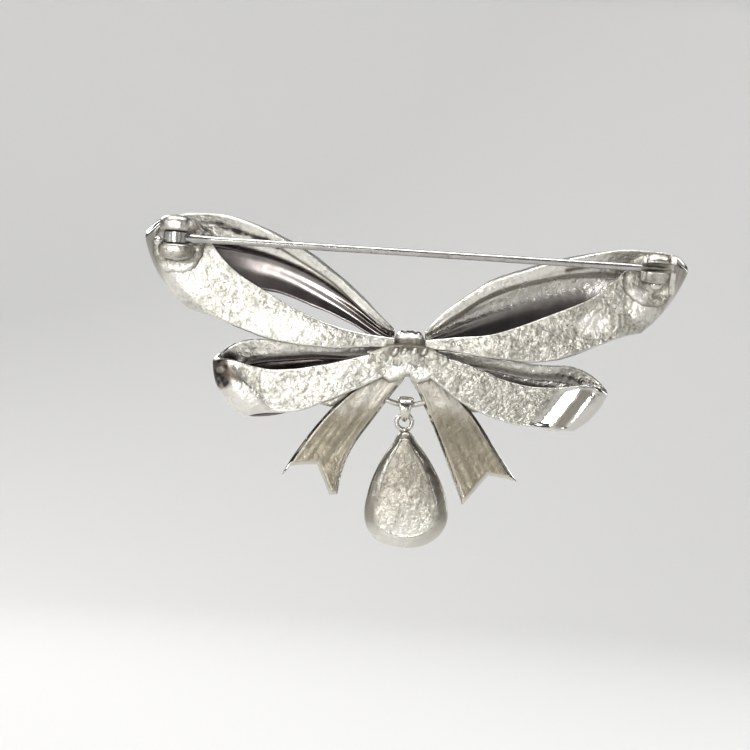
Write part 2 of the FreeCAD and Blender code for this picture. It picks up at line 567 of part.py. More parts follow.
def ribbon(stations, thick, flip, end_plane=V(1, 0, 0), both_ends=True, per=3):
    """Solid strip through the stations, outer side away from the loop. The end sections lie square to end_plane."""
    rows = resample(stations, per)
    outer, inner = [], []
    n = len(rows)
    for k, (a, b, crown, rim, t) in enumerate(rows):
        if k == 0 or (k == n - 1 and both_ends):
            t = end_plane * (1 if t.dot(end_plane) > 0 else -1)
        t.normalize()
        o, i = section(a, b, t * flip, thick, crown, rim)
        outer.append(o)
        inner.append(i)
    faces = [patch(outer), patch(inner)]
    for k in (0, -1):
        faces.append(patch([outer[k], inner[k]]))
        faces.append(patch([[o[k], i[k]] for o, i in zip(outer, inner)]))
    shell = Part.makeShell(faces)
    shell.sewShape()
    solid = Part.makeSolid(shell)
    if solid.Volume < 0:
        solid.reverse()
    return solid


def feature(name, shape):
    o = doc.addObject("Part::Feature", name)
    o.Label = name
    o.Shape = shape
    nodes.append(o)
    return o


thick = dim("ribbon_thickness")
feature("bail", bail_shape)
feature("upper_loop_hinge_side", ribbon(UPPER_HINGE, thick, 1))
feature("upper_loop_catch_side", ribbon(UPPER_CATCH, thick, -1))
feature("lower_loop_hinge_side", ribbon(LOWER_HINGE, thick, 1))
feature("lower_loop_catch_side", ribbon(LOWER_CATCH, thick, -1))

# ---------------------------------------------------------------- tails, notched like cut ribbon ends
TAIL_HINGE = [
    ((-3.40, -3.10, -1.60), (0.00, -3.10, -1.60), 0.0, 0.0),
    ((-4.30, -4.30, -1.60), (-0.25, -4.30, -1.60), 0.0, 0.0),
    ((-6.20, -6.20, -1.62), (-1.35, -6.00, -1.62), 0.0, 0.0),
    ((-8.10, -8.20, -1.75), (-2.70, -8.10, -1.75), 0.05, 0.0),
    ((-9.90, -10.50, -2.00), (-4.30, -10.50, -2.00), 0.10, 0.0),
    ((-11.50, -12.90, -2.05), (-5.70, -12.90, -2.05), 0.15, 0.0),
    ((-12.60, -14.80, -1.85), (-6.50, -15.20, -1.85), 0.15, 0.0),
    ((-13.30, -16.30, -1.45), (-6.80, -17.10, -1.45), 0.10, 0.0),
    ((-13.60, -17.20, -1.15), (-7.00, -18.40, -1.15), 0.10, 0.0),
]
TAIL_CATCH = [
    ((3.30, -3.10, -1.60), (0.00, -3.10, -1.60), 0.0, 0.0),
    ((4.20, -4.30, -1.60), (0.25, -4.30, -1.60), 0.0, 0.0),
    ((5.90, -6.10, -1.62), (1.25, -5.90, -1.62), 0.0, 0.0),
    ((7.60, -8.00, -1.75), (2.30, -7.90, -1.75), 0.05, 0.0),
    ((9.40, -10.40, -2.00), (3.60, -10.50, -2.00), 0.10, 0.0),
    ((11.10, -12.80, -2.05), (4.80, -13.10, -2.05), 0.15, 0.0),
    ((12.60, -14.80, -1.85), (5.90, -15.60, -1.85), 0.15, 0.0),
    ((13.60, -16.10, -1.45), (6.70, -17.40, -1.45), 0.10, 0.0),
    ((14.30, -17.00, -1.15), (7.20, -18.60, -1.15), 0.10, 0.0),
]
NOTCH_HINGE = [(-9.35, -14.60), (-11.0, -14.72), (-12.3, -14.95), (-13.05, -15.95), (-14.5, -15.0), (-16.0, -22.0), (-5.0, -22.0), (-6.2, -17.6), (-7.75, -17.85)]
NOTCH_CATCH = [(9.65, -14.60), (11.4, -14.80), (13.10, -15.15), (16.0, -14.4), (16.0, -22.0), (6.0, -22.0), (6.1, -18.4), (7.05, -17.95)]


def notch(points):
    ring_ = [V(-u, -12.0, v - PZ) for u, v in points]
    return Part.Face(Part.makePolygon(ring_ + ring_[:1])).extrude(V(0, 16.0, 0))


doc.recompute()
for name, stations, cut, flip in (
    ("tail_hinge_side", TAIL_HINGE, NOTCH_HINGE, 1),
    ("tail_catch_side", TAIL_CATCH, NOTCH_CATCH, -1),
):
    body = ribbon(stations, dim("tail_thickness"), flip, V(0, 0, 1), both_ends=False)
    body = body.cut(notch(cut)).cut(bar.Shape).cut(knot.Shape)
    feature(name, body.Solids[0] if len(body.Solids) == 1 else body)

# ---------------------------------------------------------------- drop: puffed shell, set-in back plate
EYE_V = RING_V - dim("bail_height") - (dim("drop_eye_radius") - dim("drop_eye_wire") - dim("bail_bottom_thickness") / 2 - 0.05)
DROP_TOP, DROP_LEN = EYE_V - 1.05, 12.95
TEAR = [(0.0, 0.55), (0.07, 1.20), (0.16, 2.05), (0.27, 2.95), (0.39, 3.72), (0.51, 4.28), (0.62, 4.60), (0.72, 4.68), (0.81, 4.45), (0.89, 3.80), (0.955, 2.65), (0.99, 1.30)]
CENTRE = 0.66


def teardrop(depth, scale, keep_top=0.0):
    """Closed wire: the drop's outline shrunk towards its belly by scale, at one depth. keep_top leaves the neck's height."""
    pts = []
    for t, w in TEAR:
        pts.append((w, t))
    ring_ = [(w, t) for w, t in pts] + [(0.0, 1.0)] + [(-w, t) for w, t in reversed(pts)]
    out = []
    for w, t in ring_:
        top = CENTRE + (t - CENTRE) * (scale if t > CENTRE else scale + (1 - scale) * keep_top)
        out.append(row((w * scale, DROP_TOP - DROP_LEN * top, depth)))
    c = Part.BSplineCurve()
    c.interpolate(Points=out, PeriodicFlag=True)
    return Part.Wire([c.toShape()])


OUTER = [(-4.05, 0.22, 0.0), (-3.85, 0.46, 0.15), (-3.45, 0.66, 0.35), (-2.9, 0.83, 0.6), (-2.3, 0.94, 0.85), (-1.7, 0.995, 1.0), (-1.25, 1.0, 1.0), (-0.8, 0.965, 0.95), (-0.4, 0.88, 0.8), (-0.1, 0.76, 0.55), (0.05, 0.68, 0.45)]
INNER = [(-3.35, 0.22, 0.0), (-3.1, 0.45, 0.1), (-2.6, 0.63, 0.25), (-2.0, 0.74, 0.4), (-1.4, 0.78, 0.5), (-0.9, 0.76, 0.5), (-0.35, 0.64, 0.4), (0.3, 0.6395, 0.4)]
outer = Part.makeLoft([teardrop(d, s, k) for d, s, k in OUTER], True, False)
inner = Part.makeLoft([teardrop(d, s, k) for d, s, k in INNER[:-1]], True, False)
mouth = Part.Face(teardrop(-0.36, 0.64, 0.4)).extrude(V(0, 0.9, 0))
eye = Part.makeTorus(dim("drop_eye_radius"), dim("drop_eye_wire"), row((0, EYE_V, BAR_DEPTH)), V(0, 1, 0))
neck = Part.makeCone(0.42, 0.85, 1.6, row((0, EYE_V - dim("drop_eye_radius") + 0.1, BAR_DEPTH)), V(0, 0, -1))
hole = Part.makeCylinder(dim("drop_eye_radius") - dim("drop_eye_wire"), 3.0, row((0, EYE_V, BAR_DEPTH)) - V(0, 1.5, 0), V(0, 1, 0))
shell = outer.cut([inner, mouth]).fuse([eye, neck]).cut(hole)
# at rest the drop leans a few degrees towards the catch side, about the middle of its eye
LEAN = 4.7


def leaning(shape):
    s = shape.copy()
    s.rotate(row((0, EYE_V, BAR_DEPTH)), V(0, 1, 0), LEAN)
    return s


feature("drop_shell", leaning(shell.Solids[0] if len(shell.Solids) == 1 else shell))
plate = Part.Face(teardrop(-0.36, 0.64, 0.4)).extrude(V(0, 0.40, 0))
dome = Part.makeLoft([teardrop(0.04, 0.64, 0.4), teardrop(0.12, 0.60, 0.4), teardrop(0.18, 0.50, 0.35), teardrop(0.21, 0.36, 0.3)], True, False)
feature("drop_back_plate", leaning(plate.fuse(dome).removeSplitter()))

# ---------------------------------------------------------------- check and write
doc.recompute()
bad = [o.Name for o in doc.Objects if "Invalid" in o.State or "Error" in o.State]
if bad:
    raise RuntimeError("failed objects: " + ", ".join(bad))
os.makedirs("parts", exist_ok=True)
for o in nodes:
    s = o.Shape
    if s.isNull() or not s.isValid() or s.Volume <= 0 or not s.Solids:
        raise RuntimeError("bad shape: %s null=%s valid=%s vol=%s" % (o.Label, s.isNull(), s.isValid(), s.Volume))
    s.exportStep("parts/%s.step" % o.Label)
    bb = s.BoundBox
    print("%-24s solids %d  vol %8.3f mm3  x %.2f..%.2f  y %.2f..%.2f  z %.2f..%.2f" % (o.Label, len(s.Solids), s.Volume, bb.XMin, bb.XMax, bb.YMin, bb.YMax, bb.ZMin, bb.ZMax))
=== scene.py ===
import math

import bpy
import numpy as np
from mathutils import Matrix, Vector


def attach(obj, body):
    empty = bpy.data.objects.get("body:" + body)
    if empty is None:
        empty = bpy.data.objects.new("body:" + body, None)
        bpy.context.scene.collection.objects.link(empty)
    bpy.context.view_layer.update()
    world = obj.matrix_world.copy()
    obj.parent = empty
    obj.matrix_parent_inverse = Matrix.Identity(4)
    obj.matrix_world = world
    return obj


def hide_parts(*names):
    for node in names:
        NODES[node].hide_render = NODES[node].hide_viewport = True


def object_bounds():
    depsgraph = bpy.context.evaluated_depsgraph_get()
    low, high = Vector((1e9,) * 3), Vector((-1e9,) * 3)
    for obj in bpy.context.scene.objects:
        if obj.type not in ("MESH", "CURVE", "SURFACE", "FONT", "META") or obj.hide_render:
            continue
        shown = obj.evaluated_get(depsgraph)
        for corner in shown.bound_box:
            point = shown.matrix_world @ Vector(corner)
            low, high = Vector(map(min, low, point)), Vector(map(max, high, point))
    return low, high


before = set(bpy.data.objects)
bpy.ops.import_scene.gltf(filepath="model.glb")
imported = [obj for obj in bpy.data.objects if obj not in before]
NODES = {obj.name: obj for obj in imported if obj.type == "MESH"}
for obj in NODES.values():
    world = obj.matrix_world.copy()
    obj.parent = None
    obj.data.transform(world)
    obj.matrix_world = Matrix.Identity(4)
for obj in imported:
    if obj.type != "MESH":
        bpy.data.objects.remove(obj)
cad_lo, cad_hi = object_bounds()
PY, PZ = 2.6, 9.2  # the pin axis behind the bow's back and above the knot's reference line, mm
MM = 1e-3


def row(u, v, y):
    """Design point in mm (across, up, depth; across runs left to right on the back) to the row frame in metres."""
    return np.array([-u, y - PY, v - PZ], float) * MM


# ------------------------------------------------------------------ noise
def _hash(ix, iy, iz, seed):
    h = (ix * 374761393 + iy * 668265263 + iz * 2147483647 + seed * 1274126177) & 0xFFFFFFFF
    h = ((h ^ (h >> 13)) * 1274126177) & 0xFFFFFFFF
    h = h ^ (h >> 16)
    return (h & 0xFFFF) / 65535.0


def vnoise(p, seed=0):
    """Smooth value noise in -1..1 at points p (n, 3)."""
    i = np.floor(p).astype(np.int64)
    f = p - i
    w = f * f * f * (f * (f * 6 - 15) + 10)
    out = np.zeros(len(p))
    for dx in (0, 1):
        for dy in (0, 1):
            for dz in (0, 1):
                k = _hash(i[:, 0] + dx, i[:, 1] + dy, i[:, 2] + dz, seed)
                wx = w[:, 0] if dx else 1 - w[:, 0]
                wy = w[:, 1] if dy else 1 - w[:, 1]
                wz = w[:, 2] if dz else 1 - w[:, 2]
                out += k * wx * wy * wz
    return out * 2 - 1


def fbm(p, octaves=3, seed=0, gain=0.55):
    out, amp, tot = np.zeros(len(p)), 1.0, 0.0
    for k in range(octaves):
        out += amp * vnoise(p * (2.07 ** k), seed + 17 * k)
        tot += amp
        amp *= gain
    return out / tot


def ridged(p, octaves=3, seed=0):
    out, amp, tot = np.zeros(len(p)), 1.0, 0.0
    for k in range(octaves):
        out += amp * (1 - np.abs(vnoise(p * (2.03 ** k), seed + 31 * k)) * 2)
        tot += amp
        amp *= 0.55
    return out / tot


def cast_relief(p_mm, seed=0, coarse=1.0):
    """Relief of a rough cast back, mm: broad dimples, worm-like ridges and fine grain."""
    broad = fbm(p_mm * 0.30, 2, seed + 3) * 0.105 * coarse
    worm = ridged(p_mm * 0.62 + 0.25 * vnoise(p_mm * 0.5, seed)[:, None], 2, seed + 5) * 0.034 * coarse
    fine = fbm(p_mm * 1.9, 2, seed + 9) * 0.026
    return broad + worm + fine


def smooth(x, a, b):
    t = np.clip((x - a) / (b - a), 0, 1)
    return t * t * (3 - 2 * t)


# ------------------------------------------------------------------ splines
def natural(ts, ys):
    """Second derivatives of the natural cubic spline through rows ys at ts."""
    ts, ys = np.asarray(ts, float), np.asarray(ys, float)
    n = len(ts)
    h = np.diff(ts)
    a = np.zeros((n, n))
    r = np.zeros_like(ys)
    a[0, 0] = a[-1, -1] = 1
    for i in range(1, n - 1):
        a[i, i - 1], a[i, i], a[i, i + 1] = h[i - 1], 2 * (h[i - 1] + h[i]), h[i]
        r[i] = 6 * ((ys[i + 1] - ys[i]) / h[i] - (ys[i] - ys[i - 1]) / h[i - 1])
    m = np.linalg.solve(a, r)

    def at(t):
        t = np.asarray(t, float)
        k = np.clip(np.searchsorted(ts, t, side="right") - 1, 0, n - 2)
        hk = h[k][:, None]
        p, q = (ts[k + 1] - t)[:, None], (t - ts[k])[:, None]
        return (m[k] * p ** 3 + m[k + 1] * q ** 3) / (6 * hk) + (ys[k] / hk - m[k] * hk / 6) * p + (ys[k + 1] / hk - m[k + 1] * hk / 6) * q

    return at


# ------------------------------------------------------------------ mesh building
LO = np.array(list(cad_lo)) / MM
HI = np.array(list(cad_hi)) / MM


def tuck(P, margin=0.22, gap=0.012):
    """Ease points in so that none passes the CAD's overall box (mm, row frame)."""
    lo_, hi_ = LO + gap, HI - gap
    P = np.where(P < lo_ + margin, lo_ + margin * np.exp(np.minimum((P - lo_ - margin) / margin, 0)), P)
    return np.where(P > hi_ - margin, hi_ - margin * np.exp(np.minimum((hi_ - margin - P) / margin, 0)), P)


def make_mesh(name, verts_mm_row, faces, attrs=None, smooth_shade=True, inside_box=True):
    """Mesh object from points already in the row frame, in mm. attrs: name to per-vertex values."""
    me = bpy.data.meshes.new(name)
    verts = np.asarray(verts_mm_row, float)
    if inside_box:
        verts = tuck(verts)
    me.from_pydata([tuple(v) for v in verts * MM], [], faces)
    me.validate()
    me.update()
    if smooth_shade:
        me.polygons.foreach_set("use_smooth", [True] * len(me.polygons))
    for key, values in (attrs or {}).items():
        a = me.attributes.new(key, "FLOAT", "POINT")
        a.data.foreach_set("value", np.asarray(values, np.float32))
    ob = bpy.data.objects.new(name, me)
    bpy.context.scene.collection.objects.link(ob)
    return ob


def grid_faces(nu, nv, close_v=True, close_u=False, base=0):
    faces = []
    for i in range(nu if close_u else nu - 1):
        i2 = (i + 1) % nu
        for j in range(nv if close_v else nv - 1):
            j2 = (j + 1) % nv
            faces.append((base + i * nv + j, base + i2 * nv + j, base + i2 * nv + j2, base + i * nv + j2))
    return faces


def normals_of(points, closed_v=True):
    """Unit normals of a (nu, nv, 3) grid."""
    du = np.gradient(points, axis=0)
    if closed_v:
        dv = (np.roll(points, -1, 1) - np.roll(points, 1, 1)) / 2
    else:
        dv = np.gradient(points, axis=1)
    n = np.cross(du, dv)
    l = np.linalg.norm(n, axis=2, keepdims=True)
    return n / np.maximum(l, 1e-9)


# ------------------------------------------------------------------ ribbon tables: (edge a, edge b, crown, rim), as in the CAD
UPPER_HINGE = [
    ((-1.70, 0.90, -3.00), (-1.70, -0.85, -3.00), 0.05, 0.15),
    ((-3.20, 2.25, -3.10), (-3.30, -0.40, -3.15), 0.10, 0.70),
    ((-5.50, 4.40, -3.25), (-5.70, 0.75, -3.60), 0.25, 1.10),
    ((-8.60, 6.90, -3.40), (-8.80, 2.10, -4.05), 0.45, 1.45),
    ((-12.20, 9.15, -3.50), (-12.20, 3.40, -4.35), 0.60, 1.85),
    ((-16.00, 10.95, -3.60), (-15.60, 4.30, -4.45), 0.65, 2.10),
    ((-20.00, 12.15, -3.70), (-18.60, 4.30, -4.35), 0.65, 2.00),
    ((-23.80, 12.50, -3.80), (-21.00, 3.90, -4.00), 0.55, 1.30),
    ((-27.20, 12.00, -3.80), (-22.80, 3.20, -3.45), 0.55, 0.50),
    ((-29.20, 11.05, -3.20), (-23.90, 2.45, -2.80), 0.80, 0.0),
    ((-29.80, 10.00, -2.10), (-24.30, 1.95, -2.00), 1.00, 0.0),
    ((-29.40, 9.90, -1.10), (-24.00, 1.70, -1.25), 0.80, 0.0),
    ((-28.20, 10.90, -0.50), (-23.00, 1.30, -0.70), 0.30, 0.0),
    ((-26.30, 11.60, -0.42), (-21.00, 0.65, -0.48), 0.04, 0.0),
    ((-23.60, 10.20, -0.42), (-18.70, -0.20, -0.45), 0.0, 0.0),
    ((-20.60, 6.90, -0.42), (-15.90, -1.00, -0.45), 0.0, 0.0),
    ((-16.60, 4.35, -0.44), (-12.90, -1.50, -0.46), 0.05, 0.0),
    ((-12.40, 2.20, -0.50), (-9.80, -1.65, -0.52), 0.08, 0.0),
    ((-8.40, 0.85, -0.62), (-6.80, -1.60, -0.62), 0.08, 0.0),
    ((-4.80, 0.15, -0.85), (-4.10, -1.30, -0.85), 0.05, 0.0),
    ((-1.70, -0.10, -1.00), (-1.70, -1.28, -1.00), 0.0, 0.0),
]
UPPER_CATCH = [
    ((1.70, 0.90, -3.00), (1.70, -0.85, -3.00), 0.05, 0.15),
    ((3.10, 2.55, -3.10), (3.30, -0.55, -3.15), 0.10, 0.70),
    ((5.30, 4.60, -3.25), (5.90, 0.05, -3.60), 0.30, 1.10),
    ((8.30, 6.80, -3.40), (9.00, 0.85, -4.05), 0.50, 1.45),
    ((12.20, 8.55, -3.50), (12.60, 2.05, -4.35), 0.65, 1.85),
    ((16.20, 9.90, -3.60), (16.20, 3.20, -4.45), 0.65, 2.10),
    ((20.00, 10.90, -3.70), (19.40, 3.70, -4.35), 0.65, 2.00),
    ((23.80, 11.40, -3.80), (21.90, 3.60, -4.00), 0.55, 1.30),
    ((27.20, 11.30, -3.80), (23.70, 3.10, -3.45), 0.50, 0.50),
    ((29.50, 10.85, -3.20), (24.80, 2.75, -2.80), 0.55, 0.0),
    ((30.15, 9.95, -2.10), (25.20, 2.40, -2.00), 0.60, 0.0),
    ((29.80, 9.75, -1.10), (24.90, 2.15, -1.25), 0.50, 0.0),
    ((28.60, 10.40, -0.50), (23.80, 1.70, -0.70), 0.22, 0.0),
    ((26.70, 10.85, -0.42), (21.90, 0.90, -0.48), 0.03, 0.0),
    ((23.80, 9.50, -0.42), (19.70, -0.10, -0.45), 0.0, 0.0),
    ((21.00, 6.60, -0.42), (16.90, -1.20, -0.45), 0.0, 0.0),
    ((17.40, 4.50, -0.44), (13.80, -1.85, -0.46), 0.05, 0.0),
    ((13.40, 2.70, -0.50), (10.20, -1.80, -0.52), 0.08, 0.0),
    ((9.20, 1.05, -0.62), (7.00, -1.50, -0.62), 0.08, 0.0),
    ((5.20, 0.40, -0.85), (4.30, -1.20, -0.85), 0.05, 0.0),
    ((1.70, -0.10, -1.00), (1.70, -1.28, -1.00), 0.0, 0.0),
]
LOWER_HINGE = [
    ((-1.70, -1.05, -3.05), (-1.70, -3.30, -3.05), 0.05, 0.10),
    ((-4.20, -1.10, -3.10), (-3.90, -4.40, -3.20), 0.15, 0.50),
    ((-7.50, -1.10, -3.15), (-6.80, -6.00, -3.50), 0.30, 0.80),
    ((-11.00, -1.00, -3.25), (-9.80, -7.60, -3.75), 0.45, 1.05),
    ((-14.50, -1.10, -3.30), (-12.60, -8.90, -3.75), 0.50, 1.15),
    ((-17.60, -1.25, -3.35), (-15.10, -9.60, -3.40), 0.55, 0.90),
    ((-20.00, -2.15, -3.10), (-16.70, -9.80, -2.80), 0.85, 0.25),
    ((-21.30, -3.40, -2.15), (-17.40, -9.70, -2.00), 1.10, 0.0),
    ((-21.00, -3.60, -1.10), (-17.00, -9.55, -1.20), 0.95, 0.0),
    ((-19.90, -3.55, -0.55), (-15.90, -9.35, -0.68), 0.38, 0.0),
    ((-18.10, -3.95, -0.44), (-13.90, -9.15, -0.48), 0.04, 0.0),
    ((-15.50, -4.45, -0.44), (-11.80, -8.80, -0.46), 0.0, 0.0),
    ((-12.60, -4.20, -0.45), (-9.60, -7.95, -0.46), 0.0, 0.0),
    ((-9.60, -3.60, -0.46), (-7.40, -6.90, -0.47), 0.0, 0.0),
    ((-6.60, -2.75, -0.48), (-4.90, -5.70, -0.49), 0.0, 0.0),
    ((-4.00, -2.05, -0.50), (-3.00, -4.60, -0.51), 0.0, 0.0),
    ((-1.70, -1.65, -0.52), (-1.70, -3.90, -0.52), 0.0, 0.0),
]
LOWER_CATCH = [
    ((1.70, -1.05, -3.05), (1.70, -3.30, -3.05), 0.05, 0.10),
    ((4.20, -1.15, -3.10), (3.90, -4.30, -3.20), 0.15, 0.50),
    ((7.60, -1.35, -3.15), (7.00, -5.80, -3.50), 0.30, 0.80),
    ((11.00, -1.60, -3.25), (10.00, -7.30, -3.75), 0.45, 1.05),
    ((14.50, -1.95, -3.30), (12.80, -8.50, -3.75), 0.50, 1.15),
    ((17.90, -1.95, -3.35), (15.30, -9.15, -3.40), 0.50, 0.90),
    ((20.70, -2.95, -3.10), (17.30, -9.25, -2.80), 0.55, 0.25),
    ((22.00, -4.20, -2.15), (18.50, -8.95, -2.00), 0.55, 0.0),
    ((21.80, -4.50, -1.10), (18.20, -8.95, -1.20), 0.45, 0.0),
    ((20.70, -4.05, -0.55), (17.10, -9.15, -0.68), 0.18, 0.0),
    ((18.80, -4.00, -0.44), (15.20, -9.10, -0.48), 0.0, 0.0),
    ((16.30, -4.40, -0.44), (12.90, -8.90, -0.46), 0.0, 0.0),
    ((13.20, -4.45, -0.45), (10.60, -8.45, -0.46), 0.0, 0.0),
    ((10.20, -3.75, -0.46), (8.20, -7.75, -0.47), 0.0, 0.0),
    ((7.40, -2.80, -0.48), (5.60, -6.40, -0.49), 0.0, 0.0),
    ((4.40, -2.05, -0.50), (3.40, -4.90, -0.51), 0.0, 0.0),
    ((1.70, -1.65, -0.52), (1.70, -3.90, -0.52), 0.0, 0.0),
]
TAIL_HINGE = [
    ((-3.40, -3.10, -1.60), (0.00, -3.10, -1.60), 0.0, 0.0),
    ((-4.30, -4.30, -1.60), (-0.25, -4.30, -1.60), 0.0, 0.0),
    ((-6.20, -6.20, -1.62), (-1.35, -6.00, -1.62), 0.0, 0.0),
    ((-8.10, -8.20, -1.75), (-2.70, -8.10, -1.75), 0.05, 0.0),
    ((-9.90, -10.50, -2.00), (-4.30, -10.50, -2.00), 0.10, 0.0),
    ((-11.50, -12.90, -2.05), (-5.70, -12.90, -2.05), 0.15, 0.0),
    ((-12.60, -14.80, -1.85), (-6.50, -15.20, -1.85), 0.15, 0.0),
    ((-13.30, -16.30, -1.45), (-6.80, -17.10, -1.45), 0.10, 0.0),
    ((-13.60, -17.20, -1.15), (-7.00, -18.40, -1.15), 0.10, 0.0),
]
TAIL_CATCH = [
    ((3.30, -3.10, -1.60), (0.00, -3.10, -1.60), 0.0, 0.0),
    ((4.20, -4.30, -1.60), (0.25, -4.30, -1.60), 0.0, 0.0),
    ((5.90, -6.10, -1.62), (1.25, -5.90, -1.62), 0.0, 0.0),
    ((7.60, -8.00, -1.75), (2.30, -7.90, -1.75), 0.05, 0.0),
    ((9.40, -10.40, -2.00), (3.60, -10.50, -2.00), 0.10, 0.0),
    ((11.10, -12.80, -2.05), (4.80, -13.10, -2.05), 0.15, 0.0),
    ((12.60, -14.80, -1.85), (5.90, -15.60, -1.85), 0.15, 0.0),
    ((13.60, -16.10, -1.45), (6.70, -17.40, -1.45), 0.10, 0.0),
    ((14.30, -17.00, -1.15), (7.20, -18.60, -1.15), 0.10, 0.0),
]
NOTCH_HINGE = [(-9.35, -14.60), (-11.0, -14.72), (-12.3, -14.95), (-13.05, -15.95), (-14.5, -15.0), (-16.0, -22.0), (-5.0, -22.0), (-6.2, -17.6), (-7.75, -17.85)]
NOTCH_CATCH = [(9.65, -14.60), (11.4, -14.80), (13.10, -15.15), (16.0, -14.4), (16.0, -22.0), (6.0, -22.0), (6.1, -18.4), (7.05, -17.95)]


def profile(nv_out, nv_in, nv_edge):
    """Stations round a ribbon's section: side (+1 outer, -1 inner), s across, and how far round the edge's rounding it is."""
    pts = []
    for s in np.linspace(-1, 1, nv_out):
        pts.append((1.0, s, 0.0))
    for q in np.linspace(0, 1, nv_edge + 2)[1:-1]:
        pts.append((1 - 2 * q, 1.0, math.sin(math.pi * q)))
    for s in np.linspace(1, -1, nv_in):
        pts.append((-1.0, s, 0.0))
    for q in np.linspace(0, 1, nv_edge + 2)[1:-1]:
        pts.append((-1 + 2 * q, -1.0, math.sin(math.pi * q)))
    return np.array(pts)


def ribbon_points(stations, thick, flip, rim_width, step=0.15, nv=52, edge=5, end_plane=(1, 0, 0), both_ends=True):
    """(nu, nv, 3) grid in row mm, with per-point data: station index, s, side, tangential distance."""
    flat = np.array([list(row(*a) / MM) + list(row(*b) / MM) + [c, r] for a, b, c, r in stations])
    d = 0.5 * (np.linalg.norm(np.diff(flat[:, :3], axis=0), axis=1) + np.linalg.norm(np.diff(flat[:, 3:6], axis=0), axis=1))
    ts = np.concatenate([[0], np.cumsum(d)])
    f = natural(ts, flat)
    nu = int(ts[-1] / step)
    t = np.linspace(0, ts[-1], nu)
    v = f(t)
    e = 0.02
    dv = f(np.minimum(t + e, ts[-1])) - f(np.maximum(t - e, 0))
    tan = dv[:, :3] + dv[:, 3:6]
    ep = np.array(end_plane, float)
    tan[0] = ep * np.sign(tan[0] @ ep)
    if both_ends:
        tan[-1] = ep * np.sign(tan[-1] @ ep)
    tan /= np.linalg.norm(tan, axis=1, keepdims=True)
    a, b, crown, rim = v[:, :3], v[:, 3:6], v[:, 6], np.maximum(v[:, 7], 0)
    across = a - b
    n = np.cross(tan * flip, across)
    n /= np.linalg.norm(n, axis=1, keepdims=True)
    index = np.interp(t, ts, np.arange(len(ts)))
    pr = profile(nv, nv, edge)
    side, s, rounding = pr[:, 0], pr[:, 1], pr[:, 2]
    half_w = np.linalg.norm(across, axis=1) / 2
    # the thick rim's flat face takes rim_width mm of the strip, then steps down to the hollow inside
    flat_w = np.interp(index, np.arange(len(rim_width)), rim_width)
    s_flat = 1 - flat_w / half_w
    step_s = np.minimum(0.85 / half_w, 0.35)
    share = smooth((s[None, :] - s_flat[:, None]) / step_s[:, None], -1.0, 0.0)
    inner_off = -thick / 2 - rim[:, None] * share
    outer_off = np.full_like(inner_off, thick / 2)
    k = (side[None, :] + 1) / 2
    off = inner_off * (1 - k) + outer_off * k
    total = outer_off - inner_off
    # soften the corners: near the ends of each flat, step towards the middle of the thickness
    corner = smooth(np.abs(s), 0.0, 1.0)[None, :] * 0
    dist = (1 - np.abs(s))[None, :] * half_w[:, None]
    rr = 0.22
    near = np.clip(1 - dist / rr, 0, 1)
    drop = rr * (1 - np.sqrt(np.clip(1 - near ** 2, 0, 1)))
    flat_mask = (np.abs(side) > 0.999)[None, :]
    off = np.where(flat_mask, off - side[None, :] * np.minimum(drop, total * 0.45), inner_off + (total - 2 * np.minimum(rr, total * 0.45)) * k + np.minimum(rr, total * 0.45))
    s_use = np.where(flat_mask, s[None, :] * (1 - 0.0 * near), s[None, :])
    mid = (a + b) / 2
    pts = mid[:, None, :] + across[:, None, :] * (0.5 * s_use[..., None]) + n[:, None, :] * ((crown[:, None] * (1 - s[None, :] ** 2)) + off)[..., None]
    data = {
        "index": np.repeat(index[:, None], len(s), 1),
        "s": np.repeat(s[None, :], nu, 0),
        "side": np.repeat(side[None, :], nu, 0),
        "t": np.repeat(t[:, None], len(s), 1),
        "t_end": ts[-1],
        "half_w": np.repeat(half_w[:, None], len(s), 1),
        "n": np.repeat(n[:, None, :], len(s), 1),
        "across": np.repeat((across / np.linalg.norm(across, axis=1, keepdims=True))[:, None, :], len(s), 1),
        "rim": np.repeat(rim[:, None], len(s), 1),
        "share": share,
    }
    return pts, data


